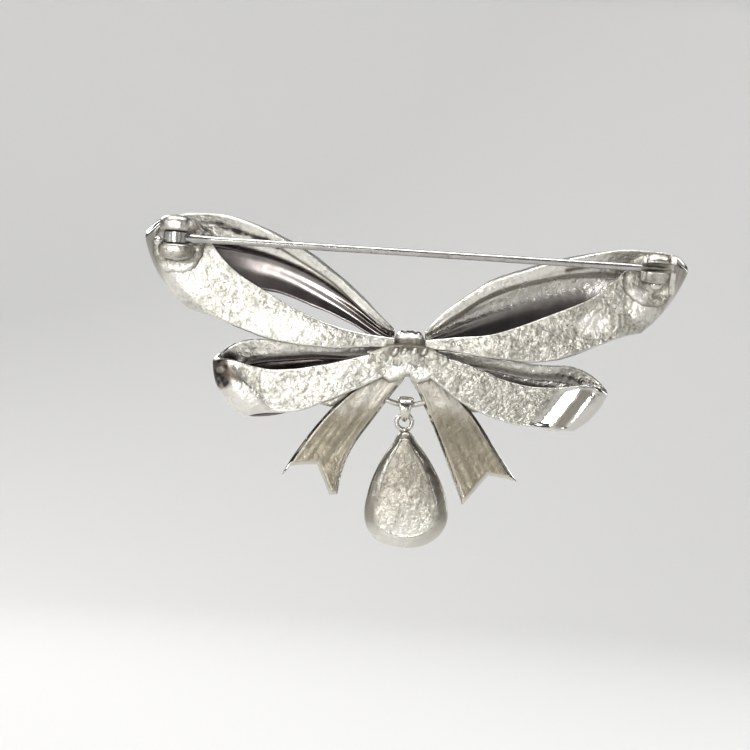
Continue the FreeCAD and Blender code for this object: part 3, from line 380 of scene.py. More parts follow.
def loop(name, stations, flip, cast_a, cast_b, seed, front_end, folds, rim_width, crease_depth, dim_from, facets=None, coarse=1.0, turned=(0.3, 0.0, -9.0), painted_rim_highlight=0.45, spot=None, patches=(), marks=()):
    """A bent ribbon loop: polished outside, rough cast back, inside painted dark as shade, gathers by the knot."""
    pts, d = ribbon_points(stations, 0.8, flip, rim_width)
    idx, s, side, t = d["index"], d["s"], d["side"], d["t"]
    # rough cast zone: the outer side of the back strap, and the rim's flat on the inside of the front strap
    bound = cast_a + (cast_b - cast_a) * (1 - s) / 2
    wob = vnoise(pts.reshape(-1, 3) * 0.8, seed).reshape(s.shape) * 0.12
    back = smooth(idx + wob, bound - 0.15, bound + 0.25) * smooth(side, -0.2, 0.6)
    rimflat = smooth(d["share"], 0.55, 0.95) * (side < 0) * smooth(d["rim"], 0.2, 0.5) * (idx < front_end + 1)
    # painted light on the upper part of the inside, on the catch side's loops
    painted_inner_light = smooth(-side, 0.6, 1.0) * (1 - rimflat) * (1 - smooth(-s, -dim_from - 0.30, -dim_from + 0.35)) * 0.8 * (dim_from < 0.5)
    edge_cast = 0.55 * (np.abs(side) < 0.99) * (idx < front_end + 1)
    cast = np.clip(back + rimflat + edge_cast + painted_inner_light, 0, 1)
    # painted shade on the inside of the loop: full where s is below dim_from, faint above it
    inside = smooth(-side, 0.6, 1.0) * (1 - rimflat) * (0.08 + 0.92 * smooth(-s, -dim_from - 0.30, -dim_from + 0.35))
    # gathers: soft folds that fade away from the knot, on the front strap
    fade = np.exp(-np.clip(t - 0.5, 0, None) / 7.5) * (idx < front_end) * smooth(t, 0.0, 1.2)
    fold = np.zeros_like(s)
    for c, w, amp in folds:
        fold += amp * np.exp(-((s - c) / w) ** 2)
    move = fold * fade
    # the fold runs on faintly along the ribbon
    run = 0.10 * np.cos(math.pi * (s * 1.4 + 0.3)) * smooth(t, 2, 8) * (1 - smooth(idx, front_end - 2.2, front_end)) * (idx < front_end)
    pts = pts + d["n"] * (move + run * 0.6)[..., None]
    nrm = normals_of(pts)
    sgn = np.sign(np.sum(nrm * d["n"], axis=2) * np.sign(side + 1e-6))
    sgn = np.where(np.abs(side) < 0.99, 1, sgn)
    # crease along the middle of the rim's flat
    sc = 1 - 1.25 / d["half_w"] + 0.02 * np.sin(t * 0.9)
    broken = 0.25 + 0.75 * smooth(vnoise(np.stack([t * 0.75, t * 0 + seed, t * 0], -1).reshape(-1, 3), seed + 6).reshape(s.shape), -0.25, 0.25) * smooth(idx, 4.4, 5.2) * (1 - smooth(idx, 7.0, 7.6))
    crease = np.exp(-((s - sc) * d["half_w"] / (0.12 + 0.20 * broken)) ** 2) * rimflat * smooth(d["rim"], 0.6, 1.2) * broken * crease_depth
    pts = pts + d["n"] * (0.22 * crease)[..., None]
    facet_shade = np.zeros_like(s)
    if facets is not None:
        # planished end: a bright slanting band, a sunk flat painted grey as shade beyond it, then the raised lip
        u, v = -pts[..., 0], pts[..., 2] + PZ
        (u0, v0), (u1, v1) = facets
        ex, ez = u1 - u0, v1 - v0
        el = math.hypot(ex, ez)
        away = ((v - v0) * ex - (u - u0) * ez) / el * -flip * -1
        if np.mean(away[idx > 9]) > np.mean(away[(idx > 7) & (idx < 8)]):
            away = -away
        away = away + 0.22 * fbm(pts.reshape(-1, 3) * 0.42, 2, seed + 2).reshape(s.shape) + 0.10 * vnoise(pts.reshape(-1, 3) * 1.3, seed + 3).reshape(s.shape)
        on = smooth(side, 0.6, 1.0) * smooth(idx, 7.0, 7.5)
        h = np.interp(away, [-1.3, -0.9, -0.15, 0.1, 1.25, 1.55, 2.3, 2.55, 2.95, 3.4], [0.0, -0.03, -0.25, -0.25, 0.0, 0.0, -0.17, -0.18, -0.02, 0.0])
        rim_d = (1 - np.abs(s)) * d["half_w"]
        keep = smooth(rim_d, 0.25, 0.8)
        pts = pts + d["n"] * (h * on * keep)[..., None]
        band = smooth(away, -0.9, -0.1) * on
        cast = cast * (1 - 0.72 * band)
        facet_shade = smooth(away, 1.30, 1.55) * (1 - smooth(away, 2.35, 2.6)) * on * keep
    flat = pts.reshape(-1, 3)
    rel = cast_relief(flat, seed, coarse).reshape(s.shape)
    out_dir = d["n"] * np.sign(side)[..., None]
    soft_edge = smooth(1 - np.abs(s), 0.0, 0.08)
    pts = pts + out_dir * ((rel - 0.05) * cast * (np.abs(side) > 0.99) * soft_edge)[..., None]
    # hand-made unevenness of the edges
    uneven = fbm(np.stack([t * 0.35, s * 0.0 + seed, side * 0], -1).reshape(-1, 3), 2, seed).reshape(s.shape)
    pts = pts + d["across"] * (0.10 * uneven * np.sign(s) * smooth(np.abs(s), 0.6, 1.0) * smooth(t, 0, 3) * smooth(d["t_end"] - t, 0, 3))[..., None]
    nu, nv = s.shape
    faces = grid_faces(nu, nv)
    faces.append(tuple(range(nv - 1, -1, -1)))
    faces.append(tuple((nu - 1) * nv + j for j in range(nv)))
    # on the turned end, where it faces the back: a thin darker film, and a painted dark reflection above a given height
    turn = smooth(idx, front_end - 1.2, front_end + 0.3) * (1 - smooth(idx, bound - 0.5, bound + 0.5)) * (side > 0) * (1 - cast)
    facing = d["n"] * np.sign(side)[..., None]
    turn = turn * smooth(facing[..., 1], 0.0, 0.32)
    film, dark_reflection, above = turned
    v_row = pts[..., 2] + PZ + 0.35 * vnoise(flat * 0.7, seed + 41).reshape(s.shape)
    inside = np.clip(inside + turn * dark_reflection * smooth(v_row, above - 0.7, above + 0.5), 0, 1)
    # painted shade in the crease and on the sunk facet, plus the darker film and the painted dark reflection
    dark = np.clip(crease * 3.6 + 0.62 * facet_shade + (film + 0.7 * (dark_reflection > 0.9) * smooth(v_row, above - 0.7, above + 0.5)) * turn, 0, 1)
    edge = smooth(np.abs(s) * 1.0, 1 - 0.35 / np.maximum(d["half_w"], 0.5), 1.0)
    # painted highlights on the rim's flat and on the lit upper inside
    painted_highlight = painted_rim_highlight * rimflat + 0.95 * painted_inner_light
    # painted highlights: soft bright patches on the back strap
    for su, sv, ru, rv in patches:
        r = np.hypot((-pts[..., 0] - su) / ru, (pts[..., 2] + PZ - sv) / rv) + 0.30 * fbm(flat * 0.8, 2, seed + 57).reshape(s.shape)
        painted_highlight = np.maximum(painted_highlight, 0.85 * (1 - smooth(r, 0.5, 1.2)) * smooth(side, 0.6, 1.0))
    # darker marks (amount above 0): stains, painted shade and painted dark reflections; painted highlights (amount
    # below 0): across, up, half sizes, turn, amount, face
    plain = np.zeros_like(s)
    for k, (su, sv, ru, rv, angle, amount, face) in enumerate(marks):
        du, dv = -pts[..., 0] - su, pts[..., 2] + PZ - sv
        ca, sa = math.cos(math.radians(angle)), math.sin(math.radians(angle))
        r = np.hypot((du * ca + dv * sa) / ru, (dv * ca - du * sa) / rv) + 0.34 * fbm(flat * 1.1, 2, seed + 61 + k).reshape(s.shape)
        on_face = smooth(side * face, 0.3, 0.8) * smooth(facing[..., 1], -0.02, 0.22)
        if amount > 0:
            grainy = 0.72 + 0.28 * smooth(vnoise(flat * 2.6, seed + 71 + k).reshape(s.shape), -0.4, 0.3)
            dark = np.maximum(dark, amount * (1 - smooth(r, 0.62, 1.12)) * on_face * grainy)
        else:
            m = -amount * (1 - smooth(r, 0.70, 1.10)) * on_face
            plain = np.maximum(plain, m)
            painted_highlight = np.maximum(painted_highlight, m)
            dark = dark * (1 - m)
            inside = inside * (1 - m)
    cast = np.maximum(cast, plain)
    # a round spot painted bright as a highlight, in a broken darker ring
    if spot is not None:
        su, sv, ru, rv = spot
        r = np.hypot((-pts[..., 0] - su) / ru, (pts[..., 2] + PZ - sv) / rv) + 0.22 * fbm(flat * 0.9, 2, seed + 51).reshape(s.shape)
        on_back = smooth(side, 0.6, 1.0) * smooth(idx, bound - 0.2, bound + 0.6)
        painted_highlight = np.maximum(painted_highlight, (1 - smooth(r, 0.70, 1.15)) * on_back)
        ring_ = np.exp(-((r - 1.42) / 0.13) ** 2) * on_back * smooth(vnoise(flat * 0.8, seed + 53).reshape(s.shape), -0.5, 0.3)
        dark = np.clip(dark + 0.34 * ring_, 0, 1)
    # painted highlight along the back strap's edges, which are also made less cast
    painted_highlight = np.clip(painted_highlight + 0.5 * edge * (side > 0.5) * (idx > front_end), 0, 1)
    cast = cast * (1 - 0.75 * edge * (side > 0.5))
    ob = make_mesh(name, pts.reshape(-1, 3), faces, {
        "cast": cast.reshape(-1), "inside": inside.reshape(-1), "stain_and_shade": dark.reshape(-1), "rim": painted_highlight.reshape(-1),
    })
    return ob


# ------------------------------------------------------------------ materials
def metal(name, color, shade, rough=(0.08, 0.16), cast_rough=(0.30, 0.46), attribute=True, bump=1.0, wear=0.5, inside=None, scale=1.0, cast_color=None, crevice_shade=0.8, speck=0.5, patchy=0.4):
    """Plated metal. Its cast zones (attribute cast) are rougher, mottled and pitted, its inside (attribute inside)
    painted darker as shade.
    """
    m = bpy.data.materials.new(name)
    m.use_nodes = True
    nt = m.node_tree
    N, L = nt.nodes, nt.links
    N.clear()
    out = N.new("ShaderNodeOutputMaterial")
    b = N.new("ShaderNodeBsdfPrincipled")
    b.inputs["Metallic"].default_value = 1.0
    L.new(b.outputs[0], out.inputs[0])
    tc = N.new("ShaderNodeTexCoord")
    mp = N.new("ShaderNodeMapping")
    mp.inputs["Scale"].default_value = (1000 * scale,) * 3
    L.new(tc.outputs["Object"], mp.inputs[0])

    def noise(sc, detail=3.0, rough_=0.6, dist=0.0):
        n = N.new("ShaderNodeTexNoise")
        n.inputs["Scale"].default_value = sc
        n.inputs["Detail"].default_value = detail
        n.inputs["Roughness"].default_value = rough_
        n.inputs["Distortion"].default_value = dist
        L.new(mp.outputs[0], n.inputs["Vector"])
        return n.outputs["Fac"]

    def ramp(src, stops):
        r = N.new("ShaderNodeValToRGB")
        els = r.color_ramp.elements
        while len(els) < len(stops):
            els.new(0.5)
        for e, (p, c) in zip(els, stops):
            e.position = p
            e.color = (*c, 1) if len(c) == 3 else c
        L.new(src, r.inputs[0])
        return r.outputs[0]

    def mixc(f, a, c):
        x = N.new("ShaderNodeMix")
        x.data_type = "RGBA"
        for sock, val in ((x.inputs[0], f), (x.inputs[6], a), (x.inputs[7], c)):
            if isinstance(val, (int, float)):
                sock.default_value = val
            elif isinstance(val, tuple):
                sock.default_value = (*val, 1)
            else:
                L.new(val, sock)
        return x.outputs[2]

    def math_(op, a, c=0.0, clamp=False):
        x = N.new("ShaderNodeMath")
        x.operation = op
        x.use_clamp = clamp
        for sock, val in ((x.inputs[0], a), (x.inputs[1], c)):
            if isinstance(val, (int, float)):
                sock.default_value = val
            else:
                L.new(val, sock)
        return x.outputs[0]

    def attr(key):
        x = N.new("ShaderNodeAttribute")
        x.attribute_name = key
        return x.outputs["Fac"]

    def span(src, lo, hi):
        x = N.new("ShaderNodeMapRange")
        x.inputs["To Min"].default_value = lo
        x.inputs["To Max"].default_value = hi
        x.inputs["From Min"].default_value = 0.3
        x.inputs["From Max"].default_value = 0.7
        L.new(src, x.inputs["Value"])
        return x.outputs[0]

    cc = cast_color or color
    # painted shade: ambient occlusion darkens crevices and narrow gaps towards a dark brown-grey
    ao = N.new("ShaderNodeAmbientOcclusion")
    ao.samples = 6
    ao.inputs["Distance"].default_value = 0.0014
    crevice = math_("MULTIPLY", ramp(ao.outputs["AO"], [(0.30, (1, 1, 1)), (0.86, (0, 0, 0))]), crevice_shade)
    blotch = noise(0.30, 3, 0.6, 0.5)
    mottle = noise(0.80, 4, 0.58, 0.35)
    grain = noise(1.9, 3, 0.60, 0.4)
    pit = noise(1.7, 2, 0.5, 0.4)
    micro = noise(6.0, 3, 0.6)
    cast = attr("cast") if attribute else 0.6
    # polished metal: faint clouding
    pol = mixc(ramp(blotch, [(0.35, (0, 0, 0)), (0.75, (1, 1, 1))]), tuple(color), tuple(c * 0.90 for c in color))
    # cast metal: pale plate over greyer patches, brown in the pits
    patches = math_("MULTIPLY", ramp(mottle, [(0.42, (0, 0, 0)), (0.62, (1, 1, 1))]), ramp(blotch, [(0.30, (0.25, 0.25, 0.25)), (0.62, (1, 1, 1))]))
    light = mixc(ramp(grain, [(0.35, (0, 0, 0)), (0.65, (1, 1, 1))]), tuple(c * 0.86 for c in cc), tuple(min(1, c * 1.05) for c in cc))
    castc = mixc(patches, light, tuple((1 - patchy) * c + patchy * s_ for c, s_ in zip(cc, shade)))
    # small grey-brown specks, gathered in clouds
    fine = noise(2.7, 4, 0.62, 0.2)
    cloud = ramp(noise(0.42, 3, 0.6, 0.3), [(0.34, (0.15, 0.15, 0.15)), (0.62, (1, 1, 1))])
    specks = math_("MULTIPLY", math_("MULTIPLY", ramp(fine, [(0.47, (0, 0, 0)), (0.60, (1, 1, 1))]), cloud), speck)
    castc = mixc(specks, castc, tuple(shade))
    pits = ramp(pit, [(0.60, (0, 0, 0)), (0.74, (1, 1, 1))])
    castc = mixc(math_("MULTIPLY", pits, 0.45), castc, tuple(shade))
    if attribute:
        # painted highlights (and, at the tails' roots, a paler plate): where the rim attribute is high, the cast colour
        # turns to a pale plate colour
        highlight_colour = mixc(math_("MULTIPLY", specks, 0.5), (0.82, 0.80, 0.745), tuple(0.5 * c + 0.5 * s_ for c, s_ in zip(cc, shade)))
        castc = mixc(math_("MULTIPLY", attr("rim"), 0.85), castc, highlight_colour)
    rough_pol = span(blotch, rough[0], rough[1])
    rough_cast = span(mottle, cast_rough[0], cast_rough[1])
    bp = N.new("ShaderNodeBump")
    bp.inputs["Distance"].default_value = 0.00022
    height = math_("ADD", math_("MULTIPLY", mottle, 0.75), math_("ADD", math_("MULTIPLY", grain, 0.50), math_("MULTIPLY", micro, 0.10)))
    height = math_("SUBTRACT", height, math_("MULTIPLY", pits, 0.16))
    L.new(height, bp.inputs["Height"])
    if attribute:
        col = mixc(cast, pol, castc)
        if inside is not None:
            # painted shade on the insides of the loops (attribute inside)
            col = mixc(attr("inside"), col, mixc(patches, tuple(inside), tuple(c * 0.72 for c in inside)))
        # darkening attribute: a few stains, plus painted shade and painted dark reflections; brown at first, near black
        # at full
        stain_and_shade_colour = mixc(ramp(attr("stain_and_shade"), [(0.62, (0, 0, 0)), (0.92, (1, 1, 1))]), (0.120, 0.088, 0.053), (0.026, 0.021, 0.018))
        col = mixc(math_("MULTIPLY", attr("stain_and_shade"), 0.97), col, stain_and_shade_colour)
        # painted shade in crevices and gaps, from ambient occlusion
        col = mixc(crevice, col, (0.11, 0.098, 0.080))
        L.new(col, b.inputs["Base Color"])
        r = N.new("ShaderNodeMix")
        r.data_type = "FLOAT"
        L.new(cast, r.inputs[0]); L.new(rough_pol, r.inputs[2]); L.new(rough_cast, r.inputs[3])
        rr = math_("ADD", r.outputs[0], math_("MULTIPLY", attr("stain_and_shade"), 0.25), True)
        if inside is not None:
            rr = math_("ADD", rr, math_("MULTIPLY", attr("inside"), 0.13), True)
        L.new(rr, b.inputs["Roughness"])
        st = math_("MULTIPLY", math_("ADD", math_("MULTIPLY", cast, 0.90), 0.04), bump, True)
        L.new(st, bp.inputs["Strength"])
    else:
        col = mixc(math_("MULTIPLY", patches, wear), pol, tuple(shade))
        col = mixc(math_("MULTIPLY", pits, wear), col, tuple(c * 0.5 for c in shade))
        # painted shade in crevices and gaps, from ambient occlusion
        col = mixc(crevice, col, (0.11, 0.098, 0.080))
        L.new(col, b.inputs["Base Color"])
        L.new(rough_pol, b.inputs["Roughness"])
        bp.inputs["Strength"].default_value = 0.35 * bump
    L.new(bp.outputs[0], b.inputs["Normal"])
    return m


SILVER = (0.78, 0.76, 0.715)
RIBBON = metal("ribbon_plate", SILVER, (0.25, 0.24, 0.195), rough=(0.06, 0.13), cast_rough=(0.30, 0.42), inside=(0.215, 0.195, 0.190), cast_color=(0.715, 0.70, 0.65), speck=0.80, patchy=0.38, bump=0.85, crevice_shade=0.6)
# a greyer copy of the ribbon plate: painted shade for the catch side's loops; the web, fillets and pads use it too
RIBBON_SHADED = metal("ribbon_plate_shaded", SILVER, (0.20, 0.185, 0.145), rough=(0.06, 0.13), cast_rough=(0.26, 0.38), inside=(0.215, 0.197, 0.188), cast_color=(0.565, 0.55, 0.50), speck=0.75, patchy=0.55, bump=1.0, crevice_shade=0.6)
TAIL = metal("tail_plate", (0.64, 0.61, 0.54), (0.15, 0.132, 0.092), rough=(0.08, 0.14), cast_rough=(0.38, 0.50), bump=0.40, inside=(0.45, 0.42, 0.36), cast_color=(0.290, 0.260, 0.200), speck=0.30, patchy=0.35)
PLATE = metal("drop_plate", (0.74, 0.72, 0.66), (0.22, 0.20, 0.15), rough=(0.07, 0.13), cast_rough=(0.28, 0.40), cast_color=(0.66, 0.64, 0.57), speck=0.55, patchy=0.45, bump=0.8, crevice_shade=0.45)
FINDING = metal("finding_plate", (0.60, 0.575, 0.52), (0.27, 0.245, 0.195), rough=(0.29, 0.43), attribute=False, bump=1.3, wear=0.8, crevice_shade=0.5)
SLEEVE = metal("sleeve_plate", (0.74, 0.72, 0.665), (0.40, 0.37, 0.31), rough=(0.38, 0.50), attribute=False, bump=0.9, wear=0.6, crevice_shade=0.0)
WIRE = metal("wire_plate", (0.50, 0.485, 0.465), (0.30, 0.285, 0.26), rough=(0.20, 0.32), attribute=False, bump=0.4, wear=0.5, crevice_shade=0.3)
SOLDER = metal("solder", (0.62, 0.60, 0.55), (0.28, 0.255, 0.205), rough=(0.26, 0.42), attribute=False, bump=2.2, wear=0.75, crevice_shade=0.6)


def set_material(ob, m):
    ob.data.materials.clear()
    ob.data.materials.append(m)


def finish_piece(ob, m, body, slot, *replaces):
    set_material(ob, m)
    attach(ob, body)
    if replaces:
        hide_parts(*replaces)
    return ob


# ------------------------------------------------------------------ the four loops
FOLDS = [(-0.55, 0.22, 0.22), (0.05, 0.20, 0.26), (0.55, 0.20, 0.20), (-0.25, 0.12, -0.14), (0.30, 0.12, -0.14)]
RIM_UH = [0.3, 0.9, 1.1, 1.3, 1.7, 2.3, 2.9, 3.0, 2.6, 2.0]
RIM_UC = [0.3, 0.8, 1.0, 1.1, 1.25, 1.5, 2.0, 2.6, 2.6, 2.0]
RIM_LH = [0.3, 0.7, 0.95, 1.15, 1.5, 1.9, 2.2, 1.8]
RIM_LC = [0.3, 0.7, 0.8, 0.85, 0.95, 1.1, 1.3, 1.2]
finish_piece(loop("ribbon_upper_hinge_side", UPPER_HINGE, 1, 12.2, 9.6, 11, 9, FOLDS, RIM_UH, 1.0, 0.9, coarse=0.55, turned=(0.30, 0.45, -9.0), painted_rim_highlight=1.0, patches=[(-25.7, 4.4, 2.6, 2.0), (-13.2, 0.1, 4.6, 1.3)], marks=[(-21.6, 11.15, 1.15, 0.42, -20, 1.0, -1), (-19.5, 10.50, 1.40, 0.36, -14, 1.0, -1), (-17.9, 10.10, 0.85, 0.30, -26, 0.95, -1)]), RIBBON, "brooch", "ribbon", "upper_loop_hinge_side")
finish_piece(loop("ribbon_upper_catch_side", UPPER_CATCH, -1, 11.6, 10.0, 23, 9, FOLDS, RIM_UC, 0.25, -0.12, coarse=1.25, turned=(0.62, 0.0, -9.0), painted_rim_highlight=1.0, spot=(20.0, 2.85, 1.75, 1.15), patches=[(25.4, 4.6, 2.0, 1.5)], marks=[(28.7, 10.2, 1.8, 1.1, 0, 0.40, 1), (29.4, 8.2, 1.2, 2.0, 0, 0.42, 1), (28.6, 10.3, 1.8, 1.0, 0, 0.40, -1)]), RIBBON_SHADED, "brooch", "ribbon", "upper_loop_catch_side")
finish_piece(loop("ribbon_lower_hinge_side", LOWER_HINGE, 1, 9.0, 9.9, 37, 7, FOLDS, RIM_LH, 0.3, 0.9, coarse=0.7, turned=(0.10, 0.95, -6.0), marks=[(-17.9, -7.8, 2.1, 2.0, 0, -1.0, 1), (-20.6, -5.2, 1.45, 1.9, 0, 1.0, 1), (-18.2, -5.0, 0.9, 0.6, -40, 0.30, 1), (-16.6, -6.7, 1.5, 0.75, -52, 0.34, 1), (-15.3, -8.4, 0.8, 0.5, -40, 0.45, 1), (-14.7, -6.8, 0.65, 0.6, 0, 0.30, 1), (-20.6, -4.8, 0.5, 0.35, 0, -0.45, 1)]), RIBBON, "brooch", "ribbon", "lower_loop_hinge_side")
finish_piece(loop("ribbon_lower_catch_side", LOWER_CATCH, -1, 8.2, 8.6, 53, 7, FOLDS, RIM_LC, 0.3, 0.30, ((18.0, -3.9), (14.6, -8.8)), coarse=1.0, turned=(0.25, 0.0, -9.0)), RIBBON_SHADED, "brooch", "ribbon", "lower_loop_catch_side")


# ------------------------------------------------------------------ tails
def tail(name, stations, notch, flip, seed, bevel=0.35):
    """A flat ribbon end: sheet clipped by the notch outline, then thickened with bevelled edges."""
    flat = np.array([list(row(*a) / MM) + list(row(*b) / MM) + [c, r] for a, b, c, r in stations])
    d = 0.5 * (np.linalg.norm(np.diff(flat[:, :3], axis=0), axis=1) + np.linalg.norm(np.diff(flat[:, 3:6], axis=0), axis=1))
    ts = np.concatenate([[0], np.cumsum(d)])
    f = natural(ts, flat)
    nu, nv = int(ts[-1] / 0.16), 36
    t = np.linspace(0, ts[-1], nu)
    v = f(t)
    a, b = v[:, :3], v[:, 3:6]
    s = np.linspace(-1, 1, nv)
    mid = (a + b) / 2
    pts = mid[:, None, :] + (a - b)[:, None, :] * (0.5 * s[None, :, None])
    bm_me = bpy.data.meshes.new(name + "_sheet")
    bm_me.from_pydata([tuple(p) for p in pts.reshape(-1, 3)], [], grid_faces(nu, nv, close_v=False))
    import bmesh
    bm = bmesh.new()
    bm.from_mesh(bm_me)
    poly = [np.array([-u, 0, vv - PZ]) for u, vv in notch]
    n = len(poly)
    # cut along each side of the notch outline, then drop what lies inside it
    for k in range(n):
        p, q = poly[k], poly[(k + 1) % n]
        dirn = q - p
        nor = Vector((dirn[2], 0, -dirn[0]))
        if nor.length < 1e-6:
            continue
        bmesh.ops.bisect_plane(bm, geom=bm.verts[:] + bm.edges[:] + bm.faces[:], dist=1e-5, plane_co=Vector(p), plane_no=nor.normalized())

    def inside(x, z):
        c = False
        for k in range(n):
            x1, z1, x2, z2 = poly[k][0], poly[k][2], poly[(k + 1) % n][0], poly[(k + 1) % n][2]
            if (z1 > z) != (z2 > z) and x < (x2 - x1) * (z - z1) / (z2 - z1) + x1:
                c = not c
        return c

    drop = [fc for fc in bm.faces if inside(fc.calc_center_median().x, fc.calc_center_median().z)]
    bmesh.ops.delete(bm, geom=drop, context="FACES")
    # hidden part inside the knot goes too
    drop = [fc for fc in bm.faces if abs(fc.calc_center_median().x) < 1.7 and fc.calc_center_median().z > -4.15 - PZ]
    bmesh.ops.delete(bm, geom=drop, context="FACES")
    bmesh.ops.triangulate(bm, faces=[fc for fc in bm.faces if len(fc.verts) > 4])
    me = bpy.data.meshes.new(name)
    bm.normal_update()
    # boundary distance, to bevel the rims
    co = np.array([vv.co for vv in bm.verts])
    bnd = np.array([vv.co for vv in bm.verts if any(e.is_boundary for e in vv.link_edges)])
    segs = [(np.array(e.verts[0].co), np.array(e.verts[1].co)) for e in bm.edges if e.is_boundary]
    p0 = np.array([x[0] for x in segs]); p1 = np.array([x[1] for x in segs])
    dist = np.full(len(co), 9.0)
    for lo_ in range(0, len(co), 400):
        c = co[lo_:lo_ + 400][:, None, :]
        ab = (p1 - p0)[None]
        tt = np.clip(np.sum((c - p0[None]) * ab, 2) / np.maximum(np.sum(ab * ab, 2), 1e-9), 0, 1)
        dist[lo_:lo_ + 400] = np.linalg.norm(c - (p0[None] + ab * tt[..., None]), axis=2).min(1)
    faces = [[vv.index for vv in fc.verts] for fc in bm.faces]
    bm.verts.ensure_lookup_table()
    bedges = [(e.verts[0].index, e.verts[1].index, e.link_faces[0]) for e in bm.edges if e.is_boundary]
    nb = len(co)
    th = 0.55
    rel = cast_relief(co, seed)
    run = co[:, 0] * 0.52 * flip - co[:, 2] * 0.85
    over = co[:, 0] * 0.85 + co[:, 2] * 0.52 * flip
    long_ = fbm(np.stack([over * 2.1, run * 0.20, run * 0 + seed], 1), 3, seed + 4) * 0.050
    rel = rel * 0.35
    bev_b = bevel * (1 - smooth(dist, 0.0, 0.45))
    bev_f = 0.22 * (1 - smooth(dist, 0.0, 0.5))
    yb = co[:, 1] + th + (rel - 0.04 + long_) * smooth(dist, 0.25, 0.7) - bev_b
    yf = co[:, 1] - th + bev_f
    # bevel round the front's edges, relief and faint lengthwise streaks on the back
    back = co.copy(); back[:, 1] = yb
    front = co.copy(); front[:, 1] = yf
    verts = np.concatenate([back, front])
    out_faces = []
    # orientation: the back faces +Y
    for fc in faces:
        p = co[fc]
        nn = np.cross(p[1] - p[0], p[2] - p[0])
        if nn[1] < 0:
            fc = fc[::-1]
        out_faces.append(tuple(fc))
        out_faces.append(tuple(i + nb for i in fc[::-1]))
    for i, j, fc in bedges:
        idx = [vv.index for vv in fc.verts]
        p = co[idx]
        nn = np.cross(p[1] - p[0], p[2] - p[0])
        if nn[1] < 0:
            idx = idx[::-1]
        k = idx.index(i)
        if idx[(k + 1) % len(idx)] == j:
            out_faces.append((j, i, i + nb, j + nb))
        else:
            out_faces.append((i, j, j + nb, i + nb))
    bm.free()
    cast = np.concatenate([smooth(dist, 0.22, 0.5), np.zeros(nb)])
    zero = np.zeros(2 * nb)
    # the rough plate of the knot's web runs on over the root of the tail, then gives way to the dull cast metal
    up = co[:, 2] + PZ + 1.1 * fbm(co * 0.45, 2, seed + 9) + 0.5 * vnoise(co * 1.5, seed + 10)
    root = 0.58 * smooth(up, -9.6, -6.6) * (0.70 + 0.30 * smooth(vnoise(co * 1.9, seed + 12), -0.4, 0.4))
    rimv = np.concatenate([np.maximum(1 - smooth(dist, 0.0, 0.5), root), 1 - smooth(dist, 0.0, 0.5)])
    return make_mesh(name, verts, out_faces, {"cast": cast, "inside": zero, "stain_and_shade": zero, "rim": rimv})


finish_piece(tail("ribbon_tail_hinge_side", TAIL_HINGE, NOTCH_HINGE, 1, 71), TAIL, "brooch", "cast_back", "tail_hinge_side")
finish_piece(tail("ribbon_tail_catch_side", TAIL_CATCH, NOTCH_CATCH, -1, 83), TAIL, "brooch", "cast_back", "tail_catch_side")

# ------------------------------------------------------------------ knot: a wrapped, pleated band
KNOT = [
    (-0.25, -4.20), (-0.15, -3.0), (-0.2, -1.4), (-1.0, -1.15), (-1.15, -0.2), (-1.7, 0.50), (-2.5, 0.88), (-3.6, 0.78),
    (-4.45, 0.15), (-4.88, -0.8), (-4.93, -1.7), (-4.68, -2.7), (-4.05, -3.45), (-3.0, -3.95), (-1.4, -4.20),
]


